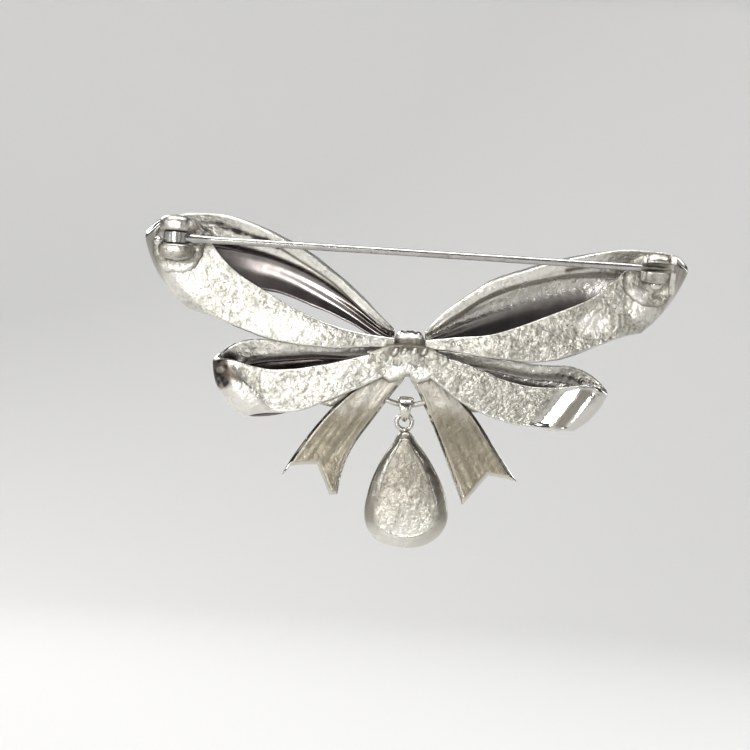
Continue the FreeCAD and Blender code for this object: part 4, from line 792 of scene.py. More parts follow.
def knot(name, seed=5):
    prof = np.array([(y - PY, v - PZ) for y, v in KNOT])
    n = len(prof)
    ext = np.concatenate([prof, prof, prof, prof[:1]])
    dd = np.concatenate([[0], np.cumsum(np.linalg.norm(np.diff(ext, axis=0), axis=1))])
    f = natural(dd, ext)
    nu = 200
    q = np.linspace(dd[n], dd[2 * n], nu, endpoint=False)
    ring_ = f(q)
    centre = ring_.mean(0)
    tang = np.roll(ring_, -1, 0) - np.roll(ring_, 1, 0)
    nrm = np.stack([tang[:, 1], -tang[:, 0]], 1)
    nrm /= np.linalg.norm(nrm, axis=1, keepdims=True)
    if np.sum((ring_ - centre) * nrm) < 0:
        nrm = -nrm
    nv = 46
    xs = np.sin(np.linspace(-math.pi / 2, math.pi / 2, nv))
    frontness = smooth(-(ring_[:, 0] + PY), 1.4, 2.6)
    pts = np.zeros((nu, nv, 3))
    for j, x in enumerate(xs):
        inset = 0.80 * (1 - math.sqrt(max(0.0, 1 - abs(x) ** 3)))
        waist = 1 - 0.10 * frontness * smooth(np.array([abs(x)]), 0.5, 1.0)[0]
        pleat = -0.16 * np.exp(-((x - 0.33) / 0.10) ** 2) - 0.16 * np.exp(-((x + 0.36) / 0.10) ** 2) - 0.07 * np.exp(-((x - 0.02) / 0.09) ** 2)
        off = -inset + (pleat + 0.0) * frontness
        pts[:, j, 0] = 1.70 * x * waist
        pts[:, j, 1:] = ring_ + nrm * off[:, None]
    flat = pts.reshape(-1, 3)
    castm = (1 - frontness)[:, None] * np.ones(nv)[None, :]
    rel = cast_relief(flat, seed).reshape(nu, nv)
    pts[..., 1:] += nrm[:, None, :] * ((rel - 0.06) * castm)[..., None]
    v_here = pts[..., 2] + PZ
    y_here = pts[..., 1] + PY
    # a darker brown band round the knot's waist, on its front
    stain_and_shade = smooth(-np.abs(v_here + 0.45 + 0.14 * fbm(flat * 1.1, 2, 6).reshape(nu, nv)), -0.75, -0.25) * smooth(y_here, -1.9, -1.35)
    stain_and_shade = stain_and_shade * (0.80 + 0.35 * fbm(flat * 1.6, 2, 9).reshape(nu, nv))
    faces = grid_faces(nu, nv, close_v=False, close_u=True)
    faces.append(tuple(i * nv for i in range(nu)))
    faces.append(tuple(i * nv + nv - 1 for i in range(nu - 1, -1, -1)))
    return make_mesh(name, pts.reshape(-1, 3), faces, {
        "cast": castm.reshape(-1), "inside": (castm * 0).reshape(-1), "stain_and_shade": np.clip(stain_and_shade * 0.82, 0, 1).reshape(-1), "rim": (castm * 0).reshape(-1),
    })


finish_piece(knot("knot_wrap"), RIBBON, "brooch", "ribbon", "knot")


# cast web and row of small beads on the back of the knot
def blob(name, outline, y0, y1, seed, m, step=0.075, dome=0.25, beads=(), coarse=1.0, highlight_spot=None):
    """Flattish cast mass inside an outline (u, v), from depth y0 up to y1 at its middle."""
    poly = np.array(outline, float)
    lo_, hi_ = poly.min(0) - 0.2, poly.max(0) + 0.2
    nx, nz = int((hi_[0] - lo_[0]) / step), int((hi_[1] - lo_[1]) / step)
    gx, gz = np.meshgrid(np.linspace(lo_[0], hi_[0], nx), np.linspace(lo_[1], hi_[1], nz), indexing="ij")
    P = np.stack([gx.ravel(), gz.ravel()], 1)
    a, c = poly, np.roll(poly, -1, 0)
    ab = (c - a)[None]
    tt = np.clip(np.sum((P[:, None] - a[None]) * ab, 2) / np.sum(ab * ab, 2), 0, 1)
    dist = np.linalg.norm(P[:, None] - (a[None] + ab * tt[..., None]), axis=2).min(1)
    ins = np.zeros(len(P), bool)
    for (x1, z1), (x2, z2) in zip(a, c):
        hit = ((z1 > P[:, 1]) != (z2 > P[:, 1])) & (P[:, 0] < (x2 - x1) * (P[:, 1] - z1) / (z2 - z1 + 1e-12) + x1)
        ins ^= hit
    sd = np.where(ins, dist, -dist)
    h = y0 + (y1 - y0) * np.sqrt(np.clip(1 - (1 - np.clip(sd / dome, 0, 1)) ** 2, 0, 1))
    pm = np.stack([-P[:, 0], h, P[:, 1]], 1)
    h = h + (cast_relief(pm, seed, coarse) - 0.04) * smooth(sd, 0, dome)
    vw = P[:, 1] + 0.30 * fbm(pm * 0.75, 2, seed + 71) + 0.10 * vnoise(pm * 2.2, seed + 72)
    ledge = smooth(vw, -3.15, -2.70) * (1 - smooth(P[:, 1], -1.30, -1.05)) * (1 - smooth(np.abs(P[:, 0]), 1.8, 3.0))
    h = h - (0.16 + 0.6 * (cast_relief(pm, seed) - 0.04)) * ledge
    mottled = 1 + 0.45 * fbm(pm * 1.3, 2, seed + 61)
    # darker on the sunk ledge
    top_stain_and_shade = 0.34 * ledge * mottled
    # painted highlight below the ledge
    painted_shine = smooth(-vw, 2.70, 3.20) * (1 - smooth(np.abs(P[:, 0] - 0.4), 2.2, 3.4)) * 0.9
    if len(beads):
        # a darker strip above the row of beads
        top_stain_and_shade = top_stain_and_shade + 0.85 * smooth(P[:, 1], -1.28, -1.02) * mottled * (1 - smooth(np.abs(P[:, 0]), 2.0, 2.8))
    for bu, bv, br in beads:
        # small beads, leaning a little
        r = np.hypot((P[:, 0] - bu) - 0.35 * (P[:, 1] - bv), (P[:, 1] - bv) * 0.80)
        h = np.maximum(h, np.where(r < br, y1 - 0.22 + np.sqrt(np.clip(br * br - r * r, 0, None)) * 1.15, -9))
        # painted shadow ring round each bead, and a painted highlight on its top
        top_stain_and_shade = np.where(r < br, 0.0, top_stain_and_shade + 0.35 * np.exp(-((r - br - 0.05) / 0.09) ** 2))
        painted_shine = np.maximum(painted_shine, 1 - smooth(r, br - 0.06, br + 0.02))
    if highlight_spot is not None:
        # painted highlight on one spot of the pad, painted shade over the rest and a painted dark line along its
        # outline
        painted_shine = 1 - smooth(np.hypot((P[:, 0] - highlight_spot[0]) / highlight_spot[2], (P[:, 1] - highlight_spot[1]) / highlight_spot[3]), 0.6, 1.2)
        top_stain_and_shade = top_stain_and_shade + 0.16 * (1 - painted_shine) * mottled + 0.30 * np.exp(-((sd - 0.02) / 0.10) ** 2)
    keep = sd.reshape(nx, nz) > -step * 0.8
    idx = -np.ones((nx, nz), int)
    idx[keep] = np.arange(keep.sum())
    top = np.stack([-P[:, 0], h - PY, P[:, 1] - PZ], 1)[keep.ravel()]
    bot = top.copy()
    bot[:, 1] = y0 - 0.05 - PY
    top_stain_and_shade = np.clip(top_stain_and_shade, 0, 0.8)[keep.ravel()]
    painted_shine = painted_shine[keep.ravel()]
    nb = len(top)
    faces, edges = [], {}
    for i in range(nx - 1):
        for j in range(nz - 1):
            q = [idx[i, j], idx[i + 1, j], idx[i + 1, j + 1], idx[i, j + 1]]
            if min(q) < 0:
                continue
            faces.append(tuple(q))
            for k in range(4):
                e = (q[k], q[(k + 1) % 4])
                if (e[1], e[0]) in edges:
                    edges.pop((e[1], e[0]))
                else:
                    edges[e] = 1
    used = sorted(set(i for fc in faces for i in fc))
    remap = {o: n_ for n_, o in enumerate(used)}
    top, bot, top_stain_and_shade, painted_shine = top[used], bot[used], top_stain_and_shade[used], painted_shine[used]
    nb = len(top)
    faces = [tuple(remap[i] for i in fc) for fc in faces]
    allf = list(faces) + [tuple(i + nb for i in fc[::-1]) for fc in faces]
    for i, j in edges:
        i, j = remap[i], remap[j]
        allf.append((j, i, i + nb, j + nb))
    ob = make_mesh(name, np.concatenate([top, bot]), allf, {
        "cast": np.ones(2 * nb), "inside": np.zeros(2 * nb), "stain_and_shade": np.concatenate([top_stain_and_shade, top_stain_and_shade * 0]), "rim": np.concatenate([painted_shine, painted_shine * 0]),
    })
    set_material(ob, m)
    return ob


web = blob("knot_back_web", [(-4.6, -1.75), (-3.3, -1.25), (-2.4, -0.80), (-1.2, -0.62), (0.0, -0.58), (1.2, -0.62), (2.3, -0.78), (3.2, -1.2), (4.4, -1.6), (5.0, -2.4), (3.8, -3.6), (2.4, -4.6), (1.2, -5.0), (0.5, -4.6), (-0.1, -4.15), (-0.9, -4.7), (-1.9, -5.1), (-3.2, -4.5), (-4.9, -3.2)], -1.25, -0.02, 91, RIBBON_SHADED,
           dome=0.50, beads=[(-1.55, -1.64, 0.34), (-0.57, -1.58, 0.36), (0.53, -1.52, 0.36), (1.66, -1.46, 0.32)])
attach(web, "brooch")
# cast fillets where each lower loop's strap runs into its tail
for key, outline, seed in (
    ("fillet_hinge_side", [(-9.7, -7.85), (-8.9, -8.05), (-8.25, -8.15), (-7.6, -7.75), (-6.6, -6.9), (-5.6, -5.8), (-6.2, -5.6), (-7.4, -6.4), (-8.8, -7.1)], 137),
    ("fillet_catch_side", [(4.9, -5.3), (6.2, -5.7), (7.6, -6.4), (9.3, -7.1), (8.6, -7.55), (7.65, -7.75), (7.0, -7.5), (6.0, -6.6)], 139),
):
    fillet = blob(key, outline, -1.5, -0.72, seed, RIBBON_SHADED, dome=0.35, coarse=0.8)
    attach(fillet, "brooch")


# ------------------------------------------------------------------ drop: puffed shell and its set-in back plate
BAR_V, BAR_DEPTH = -7.4, -1.6
RING_V = BAR_V + 0.3 + 0.04 + 0.3 - 1.15
EYE_V = RING_V - 1.15 - (0.85 - 0.3 - 0.25 - 0.05)
DROP_TOP, DROP_LEN, CENTRE = EYE_V - 1.05, 12.95, 0.66
TEAR = [(0.0, 0.55), (0.07, 1.20), (0.16, 2.05), (0.27, 2.95), (0.39, 3.72), (0.51, 4.28), (0.62, 4.60), (0.72, 4.68), (0.81, 4.45), (0.89, 3.80), (0.955, 2.65), (0.99, 1.30)]


LEAN = math.radians(4.7)


def leaned(P):
    """Turn points (mm, row frame) about the middle of the drop's eye, as the drop leans at rest."""
    P = np.array(P, float)
    c = row(0, EYE_V, BAR_DEPTH) / MM
    x, z = P[..., 0] - c[0], P[..., 2] - c[2]
    P[..., 0] = c[0] + x * math.cos(LEAN) + z * math.sin(LEAN)
    P[..., 2] = c[2] - x * math.sin(LEAN) + z * math.cos(LEAN)
    return P


def tear_ring(scale, keep_top, count=160):
    ring_ = [(w, t) for t, w in TEAR] + [(0.0, 1.0)] + [(-w, t) for t, w in reversed(TEAR)]
    pts = []
    for w, t in ring_:
        top = CENTRE + (t - CENTRE) * (scale if t > CENTRE else scale + (1 - scale) * keep_top)
        pts.append((w * scale, DROP_TOP - DROP_LEN * top))
    pts = np.array(pts)
    n = len(pts)
    ext = np.concatenate([pts, pts, pts, pts[:1]])
    dd = np.concatenate([[0], np.cumsum(np.sqrt(np.linalg.norm(np.diff(ext, axis=0), axis=1) + 1e-6))])
    f = natural(dd, ext)
    q = np.linspace(dd[n], dd[2 * n], count, endpoint=False)
    return f(q)


def drop_shell(name, seed=3):
    # (depth, scale, how much of the neck's height is kept)
    OUT = [(-3.98, 0.02, 0.0), (-3.97, 0.12, 0.0), (-3.90, 0.28, 0.05), (-3.72, 0.46, 0.15), (-3.36, 0.66, 0.35), (-2.85, 0.83, 0.6), (-2.3, 0.94, 0.85), (-1.7, 0.995, 1.0), (-1.25, 1.0, 1.0), (-0.8, 0.965, 0.95), (-0.42, 0.88, 0.8), (-0.15, 0.775, 0.66), (-0.03, 0.715, 0.62)]
    tab = np.array(OUT)
    k = np.linspace(0, len(tab) - 1, 72)
    f = natural(np.arange(len(tab)), tab)
    rows = f(k)
    count = 180
    pts = []
    for y, sc, kt in rows:
        r = tear_ring(sc, kt, count)
        pts.append(np.stack([-r[:, 0], np.full(count, y - PY), r[:, 1] - PZ], 1))
    # turn in over the plate's seat
    for y, sc, kt in ((-0.05, 0.690, 0.60), (-0.14, 0.672, 0.585), (-0.45, 0.665, 0.58)):
        r = tear_ring(sc, kt, count)
        pts.append(np.stack([-r[:, 0], np.full(count, y - PY), r[:, 1] - PZ], 1))
    pts = np.array(pts)
    flat = pts.reshape(-1, 3)
    lump = fbm(flat * 0.33, 2, seed).reshape(pts.shape[:2]) * 0.05
    nr = normals_of(pts)
    c = pts.mean((0, 1))
    if np.sum((pts - c) * nr) < 0:
        nr = -nr
    rowk = np.arange(len(pts))[:, None] / len(pts)
    lip = smooth(rowk, 0.86, 0.95) * np.ones(count)[None]
    wob = fbm(flat * 0.85, 3, seed + 21).reshape(lump.shape) * 0.075 * smooth(pts[..., 1] + PY, -1.6, -0.6)
    pts = pts + nr * (lump * (1 - lip) + wob * (1 - lip) + (fbm(flat * 1.4, 2, seed + 8).reshape(lump.shape) * 0.06) * lip - 0.05)[..., None]
    nu = len(pts)
    faces = grid_faces(nu, count)
    faces.append(tuple(range(count)))
    faces.append(tuple((nu - 1) * count + j for j in range(count - 1, -1, -1)))
    cast = np.clip(lip * 0.9 + 0.22 * smooth(pts[..., 1] + PY, -1.2, -0.3), 0, 1)
    z = np.zeros(nu * count)
    shade_ = 0.58 * smooth(pts[..., 1] + PY, -1.5, -0.9) * (1 - smooth(pts[..., 1] + PY, -0.25, -0.06)) * (0.30 + 0.70 * smooth(pts[..., 2] + PZ, DROP_TOP - 12.6, DROP_TOP - 9.0))
    # painted highlight on the rolled rim at the foot, on the hinge's side; the painted side shade gives way there
    foot = smooth(pts[..., 1] + PY, -1.6, -0.9) * smooth(-(pts[..., 2] + PZ), -(DROP_TOP - 9.6), -(DROP_TOP - 11.4)) * smooth(pts[..., 0], -1.6, 0.6)
    foot = foot * (0.75 + 0.25 * smooth(vnoise(flat * 1.6, seed + 33).reshape(foot.shape), -0.4, 0.4))
    cast = np.maximum(cast, 0.75 * foot)
    shade_ = shade_ * (1 - foot)
    return make_mesh(name, leaned(pts).reshape(-1, 3), faces, {"cast": cast.reshape(-1), "inside": z, "stain_and_shade": shade_.reshape(-1), "rim": foot.reshape(-1)})


def drop_plate(name, seed=13):
    count, rings = 150, 34
    ks = np.linspace(1, 0.03, rings)
    pts, castv = [], []
    for q in ks:
        base = tear_ring(0.708, 0.612, count)
        c = np.array([0.0, DROP_TOP - DROP_LEN * CENTRE])
        r = c + (base - c) * q
        y = -0.045 + 0.20 * (1 - q ** 2.2)
        pts.append(np.stack([-r[:, 0], np.full(count, y - PY), r[:, 1] - PZ], 1))
    pts = np.array(pts)
    flat = pts.reshape(-1, 3)
    rel = cast_relief(flat, seed).reshape(pts.shape[:2])
    edge = smooth(1 - ks, 0.0, 0.10)[:, None]
    pts[..., 1] += (rel * 0.9 - 0.03) * edge
    bottom = pts[:1].copy()
    bottom[..., 1] = -0.45 - PY
    pts = np.concatenate([bottom, pts])
    nu = len(pts)
    faces = grid_faces(nu, count)
    faces.append(tuple(range(count)))
    faces.append(tuple((nu - 1) * count + j for j in range(count - 1, -1, -1)))
    o = np.ones(nu * count)
    # painted shade: a broken dark line round the plate's edge, in its seam
    gap = np.zeros((nu, count)); gap[1:3] = 0.16 * smooth(vnoise(np.stack([np.linspace(0, 9, count), np.zeros(count), np.zeros(count)], 1), 4), -0.3, 0.5)[None, :]
    # painted shade greyer towards the neck, painted highlight whiter at the foot
    height = pts[..., 2] + PZ
    gap = np.clip(gap + 0.42 * smooth(height, DROP_TOP - 9.5, DROP_TOP - 5.0), 0, 1)
    foot = smooth(-height, -(DROP_TOP - 8.6), -(DROP_TOP - 11.2)) * 0.8
    pts = leaned(pts)
    return make_mesh(name, pts.reshape(-1, 3), faces, {"cast": o, "inside": o * 0, "stain_and_shade": gap.reshape(-1), "rim": foot.reshape(-1)})


def torus_mesh(name, centre, major, minor, axis="y", nu=72, nv=22, lump=0.0, seed=0, squash=1.0):
    a = np.linspace(0, 2 * math.pi, nu, endpoint=False)
    b = np.linspace(0, 2 * math.pi, nv, endpoint=False)
    A, B = np.meshgrid(a, b, indexing="ij")
    r = major + minor * np.cos(B)
    if axis == "y":
        P = np.stack([r * np.cos(A), minor * squash * np.sin(B), r * np.sin(A)], -1)
    else:
        P = np.stack([minor * squash * np.sin(B), r * np.cos(A), r * np.sin(A)], -1)
    P = P + np.array(centre)
    if lump:
        nr = P - (np.array(centre) + np.stack([major * np.cos(A) if axis == "y" else A * 0, A * 0 if axis == "y" else major * np.cos(A), major * np.sin(A)], -1))
        nr /= np.linalg.norm(nr, axis=-1, keepdims=True)
        P = P + nr * (fbm(P.reshape(-1, 3) * 1.8, 2, seed).reshape(A.shape) * lump - lump * 0.4)[..., None]
    return P, grid_faces(nu, nv, True, True)


shell = drop_shell("drop_body")
P, F = torus_mesh("eye", row(0, EYE_V, BAR_DEPTH) / MM, 0.85, 0.28, "y", lump=0.03, seed=2)
n_eye = P.shape[0] * P.shape[1]
o1 = np.ones(n_eye)
eye = make_mesh("drop_eye", P.reshape(-1, 3), F, {"cast": o1 * 0.8, "inside": o1 * 0, "stain_and_shade": o1 * 0, "rim": o1 * 0})


def lathe(name, prof, centre, seed=0, lump=0.0, nu=48, cast=0.8):
    """prof: (radius, height below centre), round the vertical axis."""
    pr = np.array(prof, float)
    a = np.linspace(0, 2 * math.pi, nu, endpoint=False)
    k = np.linspace(0, len(pr) - 1, 24)
    f = natural(np.arange(len(pr)), pr)(k)
    P = np.stack([f[:, :1] * np.cos(a)[None], f[:, :1] * np.sin(a)[None], -f[:, 1:] * np.ones(nu)[None]], -1) + np.array(centre)
    if lump:
        P = P + (fbm(P.reshape(-1, 3) * 1.5, 2, seed).reshape(P.shape[:2]) * lump)[..., None] * np.stack([np.cos(a), np.sin(a), a * 0], -1)[None]
    faces = grid_faces(len(P), nu)
    faces.append(tuple(range(nu - 1, -1, -1)))
    faces.append(tuple((len(P) - 1) * nu + j for j in range(nu)))
    m = P.shape[0] * P.shape[1]
    return make_mesh(name, leaned(P).reshape(-1, 3), faces, {"cast": np.full(m, cast), "inside": np.zeros(m), "stain_and_shade": np.zeros(m), "rim": np.zeros(m)})


neck = lathe("drop_neck", [(0.40, 0.72), (0.42, 0.95), (0.52, 1.25), (0.74, 1.65), (1.0, 2.1)], row(0, EYE_V, BAR_DEPTH) / MM, seed=4, lump=0.06)
finish_piece(shell, PLATE, "drop", "ribbon", "drop_shell")
for ob in (eye, neck):
    finish_piece(ob, PLATE, "drop", "ribbon")
finish_piece(drop_plate("drop_back"), PLATE, "drop", "cast_back", "drop_back_plate")


# ------------------------------------------------------------------ bail strap
def bail(name):
    hy, hz = 0.95, 1.15
    nu, nv = 96, 28
    P = np.zeros((nu, nv, 3))
    c0 = row(0, RING_V, BAR_DEPTH) / MM
    for i in range(nu):
        ang = 2 * math.pi * i / nu
        c = c0 + np.array([0, hy * math.sin(ang), hz * math.cos(ang)])
        d = np.array([0, hy * math.cos(ang), -hz * math.sin(ang)])
        d /= np.linalg.norm(d)
        nrm = np.cross(d, [1, 0, 0])
        share = 0.5 + 0.5 * math.cos(ang)
        w = 0.28 + (0.9 - 0.28) * share ** 0.8
        tt = 0.25 + 0.05 * share
        for j in range(nv):
            f = 2 * math.pi * j / nv
            cx, cy = math.cos(f), math.sin(f)
            P[i, j] = c + np.array([1, 0, 0]) * (w * math.copysign(abs(cx) ** 0.72, cx)) + nrm * (tt * math.copysign(abs(cy) ** 0.72, cy))
    m = nu * nv
    return make_mesh(name, P.reshape(-1, 3), grid_faces(nu, nv, True, True), {"cast": np.full(m, 0.45), "inside": np.zeros(m), "stain_and_shade": np.zeros(m), "rim": np.zeros(m)})


finish_piece(bail("bail_strap"), PLATE, "bail_link", "finding", "bail")


# ------------------------------------------------------------------ round solder pads with uneven, flowing edges
def solder_pad(name, cu, cv, radius, seed, node, highlight_spot):
    outline = []
    for k in range(56):
        a = 2 * math.pi * k / 56
        q = np.array([[2.2 * math.cos(a) + seed, 2.2 * math.sin(a), 0.3]])
        r = radius * (1.0 + 0.075 * vnoise(q, seed)[0] + 0.03 * vnoise(q * 2.6, seed + 1)[0])
        outline.append((cu + r * math.cos(a), cv + r * math.sin(a)))
    ob = blob(name, outline, -0.12, 0.40, seed, RIBBON_SHADED, dome=0.62, coarse=1.7, highlight_spot=highlight_spot)
    return finish_piece(ob, RIBBON_SHADED, "brooch", "finding", node)


solder_pad("hinge_solder", -26.0, 8.4, 2.92, 7, "hinge_pad", (-26.2, 6.0, 2.2, 0.75))
solder_pad("catch_solder", 25.9, 8.0, 2.92, 19, "catch_pad", (24.4, 6.1, 1.5, 0.95))

# ------------------------------------------------------------------ hinge bracket: two domed ears rising from a lumpy floor
def ear(name, z0, z1, seed):
    """Rounded cheek between two heights; its outline in x, y is a D on the pad, and its outer face is domed."""
    nu, nv = 72, 26
    ins, outs = [], []
    prof = []
    for q in np.linspace(0, math.pi, 33):
        prof.append((1.80 * math.copysign(abs(math.cos(q)) ** 0.8, math.cos(q)), 1.57 * math.sin(q)))
    foot = [(-1.84, -0.8), (-1.88, -1.5), (-1.95, -2.22), (1.95, -2.22), (1.88, -1.5), (1.84, -0.8)]
    pr = np.array(prof + foot)
    dd = np.concatenate([[0], np.cumsum(np.linalg.norm(np.diff(np.vstack([pr, pr[:1]]), axis=0), axis=1))])
    q = np.linspace(0, dd[-1], nu, endpoint=False)
    cl = np.vstack([pr, pr[:1]])
    ringxy = np.stack([np.interp(q, dd, cl[:, 0]), np.interp(q, dd, cl[:, 1])], 1)
    centre = np.array([0.0, -0.35])
    rows_ = []
    sgn = 1 if z1 > z0 else -1
    h = abs(z1 - z0)
    for f in np.linspace(0, math.pi, nv):
        # from the inner face's middle, over the rim, to the outer face's middle
        flat_in = 0.14 if f < math.pi / 2 else 0.55
        k = abs(math.sin(f)) ** (0.42 if f < math.pi / 2 else 0.62)
        zz = 0.5 * (1 - math.copysign(abs(math.cos(f)) ** (0.45 if f < math.pi / 2 else 0.95), math.cos(f)))
        rows_.append((max(k, 0.02), z0 + sgn * h * zz))
    P = np.zeros((nv, nu, 3))
    for i, (k, zz) in enumerate(rows_):
        xy = centre + (ringxy - centre) * k
        P[i, :, 0] = 26.2 + xy[:, 0]
        P[i, :, 1] = xy[:, 1]
        P[i, :, 2] = zz
    P[..., 1] = np.maximum(P[..., 1], -2.22)
    flat_ = P.reshape(-1, 3)
    P = P + (fbm(flat_ * 0.9, 2, seed).reshape(nv, nu) * 0.05)[..., None] * np.array([1.0, 0.4, 0.0])
    faces = grid_faces(nv, nu)
    faces.append(tuple(range(nu)))
    faces.append(tuple((nv - 1) * nu + j for j in range(nu - 1, -1, -1)))
    return make_mesh(name, P.reshape(-1, 3), faces)


def saddle(name):
    """Floor of the bracket between and under the ears, running out into the pad as solder."""
    nu, nv = 90, 20
    P = np.zeros((nv, nu, 3))
    for i, f in enumerate(np.linspace(0, 1, nv)):
        r = 1 - f
        y = -2.25 + 0.62 * (1 - r ** 3.2)
        for j in range(nu):
            a = 2 * math.pi * j / nu
            w = 1.95 + 0.12 * math.sin(3 * a + 1) + 0.08 * math.sin(5 * a)
            hgt = 2.35 + 0.14 * math.sin(2 * a + 0.6) + 0.07 * math.sin(7 * a)
            P[i, j] = [26.2 + w * max(r, 0.01) * math.copysign(abs(math.cos(a)) ** 0.8, math.cos(a)), y, hgt * max(r, 0.01) * math.copysign(abs(math.sin(a)) ** 0.8, math.sin(a)) - 0.1]
    P[..., 1] += fbm(P.reshape(-1, 3) * 0.8, 2, 8).reshape(nv, nu) * 0.06 - 0.04
    faces = grid_faces(nv, nu)
    faces.append(tuple(range(nu)))
    faces.append(tuple((nv - 1) * nu + j for j in range(nu - 1, -1, -1)))
    return make_mesh(name, P.reshape(-1, 3), faces)


def ball(name, centre, radius, seed, squash=(1.0, 1.0, 1.0)):
    """Small uneven ball of solder."""
    nu, nv = 40, 24
    P = np.zeros((nv, nu, 3))
    for i in range(nv):
        f = math.pi * (i + 0.5) / nv
        for j in range(nu):
            a = 2 * math.pi * j / nu
            P[i, j] = [math.sin(f) * math.cos(a) * squash[0], math.sin(f) * math.sin(a) * squash[1], math.cos(f) * squash[2]]
    n = P.reshape(-1, 3)
    P = P * radius * (1 + 0.06 * fbm(n * 1.2, 2, seed).reshape(nv, nu)[..., None]) + np.array(centre)
    faces = [f[::-1] for f in grid_faces(nv, nu)]
    faces.append(tuple(range(nu - 1, -1, -1))[::-1])
    faces.append(tuple((nv - 1) * nu + j for j in range(nu))[::-1])
    return make_mesh(name, P.reshape(-1, 3), faces)


def catch_body(name):
    """C section with its mouth to the back, swollen into a lobe on each side of the stem."""
    x0, x1 = -27.60, -25.00
    nx, no, ni = 44, 56, 44
    P = np.zeros((nx, no + ni, 3))
    for i, q in enumerate(np.linspace(-1, 1, nx)):
        x = (x0 + x1) / 2 + (x1 - x0) / 2 * q
        swell = (1 - abs(q) ** 3.2) ** 0.5 if abs(q) < 1 else 0.0
        r_in = 1.135 + 0.10 * (1 - min(1.0, (1 - abs(q)) / 0.10)) ** 2
        for j in range(no):
            lip = 0.36
            a = lip + (2 * math.pi - 2 * lip) * j / (no - 1)
            top = math.sin(a) > 0
            shift = (0.10 if top else -0.14) * math.sin(math.pi * q)
            r = 1.245 + (0.40 + (0.03 if top else -0.02)) * swell * (1 + 0.35 * shift)
            r = r - 0.10 * math.exp(-((abs(math.pi - abs(a - math.pi)) - lip) / 0.14) ** 2)
            P[i, j] = [x, r * math.cos(a), r * math.sin(a)]
        for j in range(ni):
            lip = 0.50
            a = 2 * math.pi - lip - (2 * math.pi - 2 * lip) * j / (ni - 1)
            P[i, no + j] = [x, r_in * math.cos(a), r_in * math.sin(a)]
    lump = fbm(P.reshape(-1, 3) * 0.9, 2, 31).reshape(nx, no + ni)
    rad = np.hypot(P[..., 1], P[..., 2])
    k = smooth(rad, 1.2, 1.4) * 0.045 * lump
    P[..., 1] *= 1 + k / np.maximum(rad, 0.1)
    P[..., 2] *= 1 + k / np.maximum(rad, 0.1)
    faces = [f[::-1] for f in grid_faces(nx, no + ni)]
    for base, flip_ in ((0, False), ((nx - 1) * (no + ni), True)):
        for j in range(no - 1):
            a0 = base + no + int(round((no - 1 - j) * (ni - 1) / (no - 1)))
            a1 = base + no + int(round((no - 2 - j) * (ni - 1) / (no - 1)))
            f = [base + j, base + j + 1, a1, a0] if a0 != a1 else [base + j, base + j + 1, a0]
            faces.append(tuple(f if not flip_ else f[::-1]))
    return make_mesh(name, P.reshape(-1, 3), faces)


def mound(name, cx, cz, wx, wz, y0, y1, seed):
    """Lumpy rise of solder under a fitting."""
    nu, nv = 80, 18
    P = np.zeros((nv, nu, 3))
    for i, f in enumerate(np.linspace(0, 1, nv)):
        r = 1 - f
        y = y0 + (y1 - y0) * (1 - r ** 3.0)
        for j in range(nu):
            a = 2 * math.pi * j / nu
            k = 1 + 0.06 * math.sin(3 * a + seed) + 0.04 * math.sin(5 * a)
            P[i, j] = [cx + wx * k * max(r, 0.01) * math.copysign(abs(math.cos(a)) ** 0.8, math.cos(a)), y, cz + wz * k * max(r, 0.01) * math.copysign(abs(math.sin(a)) ** 0.8, math.sin(a))]
    P[..., 1] += fbm(P.reshape(-1, 3) * 0.8, 2, seed).reshape(nv, nu) * 0.05 - 0.04
    faces = grid_faces(nv, nu)
    faces.append(tuple(range(nu)))
    faces.append(tuple((nv - 1) * nu + j for j in range(nu - 1, -1, -1)))
    return make_mesh(name, P.reshape(-1, 3), faces)


finish_piece(ball("bracket_bead", (27.95, 0.62, -0.50), 0.50, 3), PLATE, "brooch", "finding")
finish_piece(catch_body("catch_lobes"), FINDING, "brooch", "finding", "catch_housing")
finish_piece(mound("catch_foot", -26.3, -0.05, 1.75, 1.45, -2.24, -1.28, 4), SOLDER, "brooch", "finding")
finish_piece(ball("catch_bead", (-26.35, -0.95, -1.75), 0.55, 8, (1.25, 0.9, 0.9)), PLATE, "brooch", "finding")
finish_piece(ear("bracket_ear_top", 0.60, 2.46, 5), FINDING, "brooch", "finding", "hinge_bracket")
finish_piece(ear("bracket_ear_bottom", -0.62, -2.30, 6), FINDING, "brooch", "finding")
finish_piece(saddle("bracket_floor"), SOLDER, "brooch", "finding")

# ------------------------------------------------------------------ CAD nodes that stay: softened edges and plated metal
for name, m, width in (
    ("hinge_rivet", FINDING, 0.06), ("catch_sleeve", SLEEVE, 0.12), ("pin_stem", WIRE, 0.03), ("hanger_bar", FINDING, 0.02),
):
    ob = NODES[name]
    set_material(ob, m)
    be = ob.modifiers.new("bevel", "BEVEL")
    be.width = width * MM
    be.segments = 3
    be.limit_method = "ANGLE"
    be.angle_limit = math.radians(38)
    be.harden_normals = True
    be.use_clamp_overlap = True
    ob.data.polygons.foreach_set("use_smooth", [True] * len(ob.data.polygons))

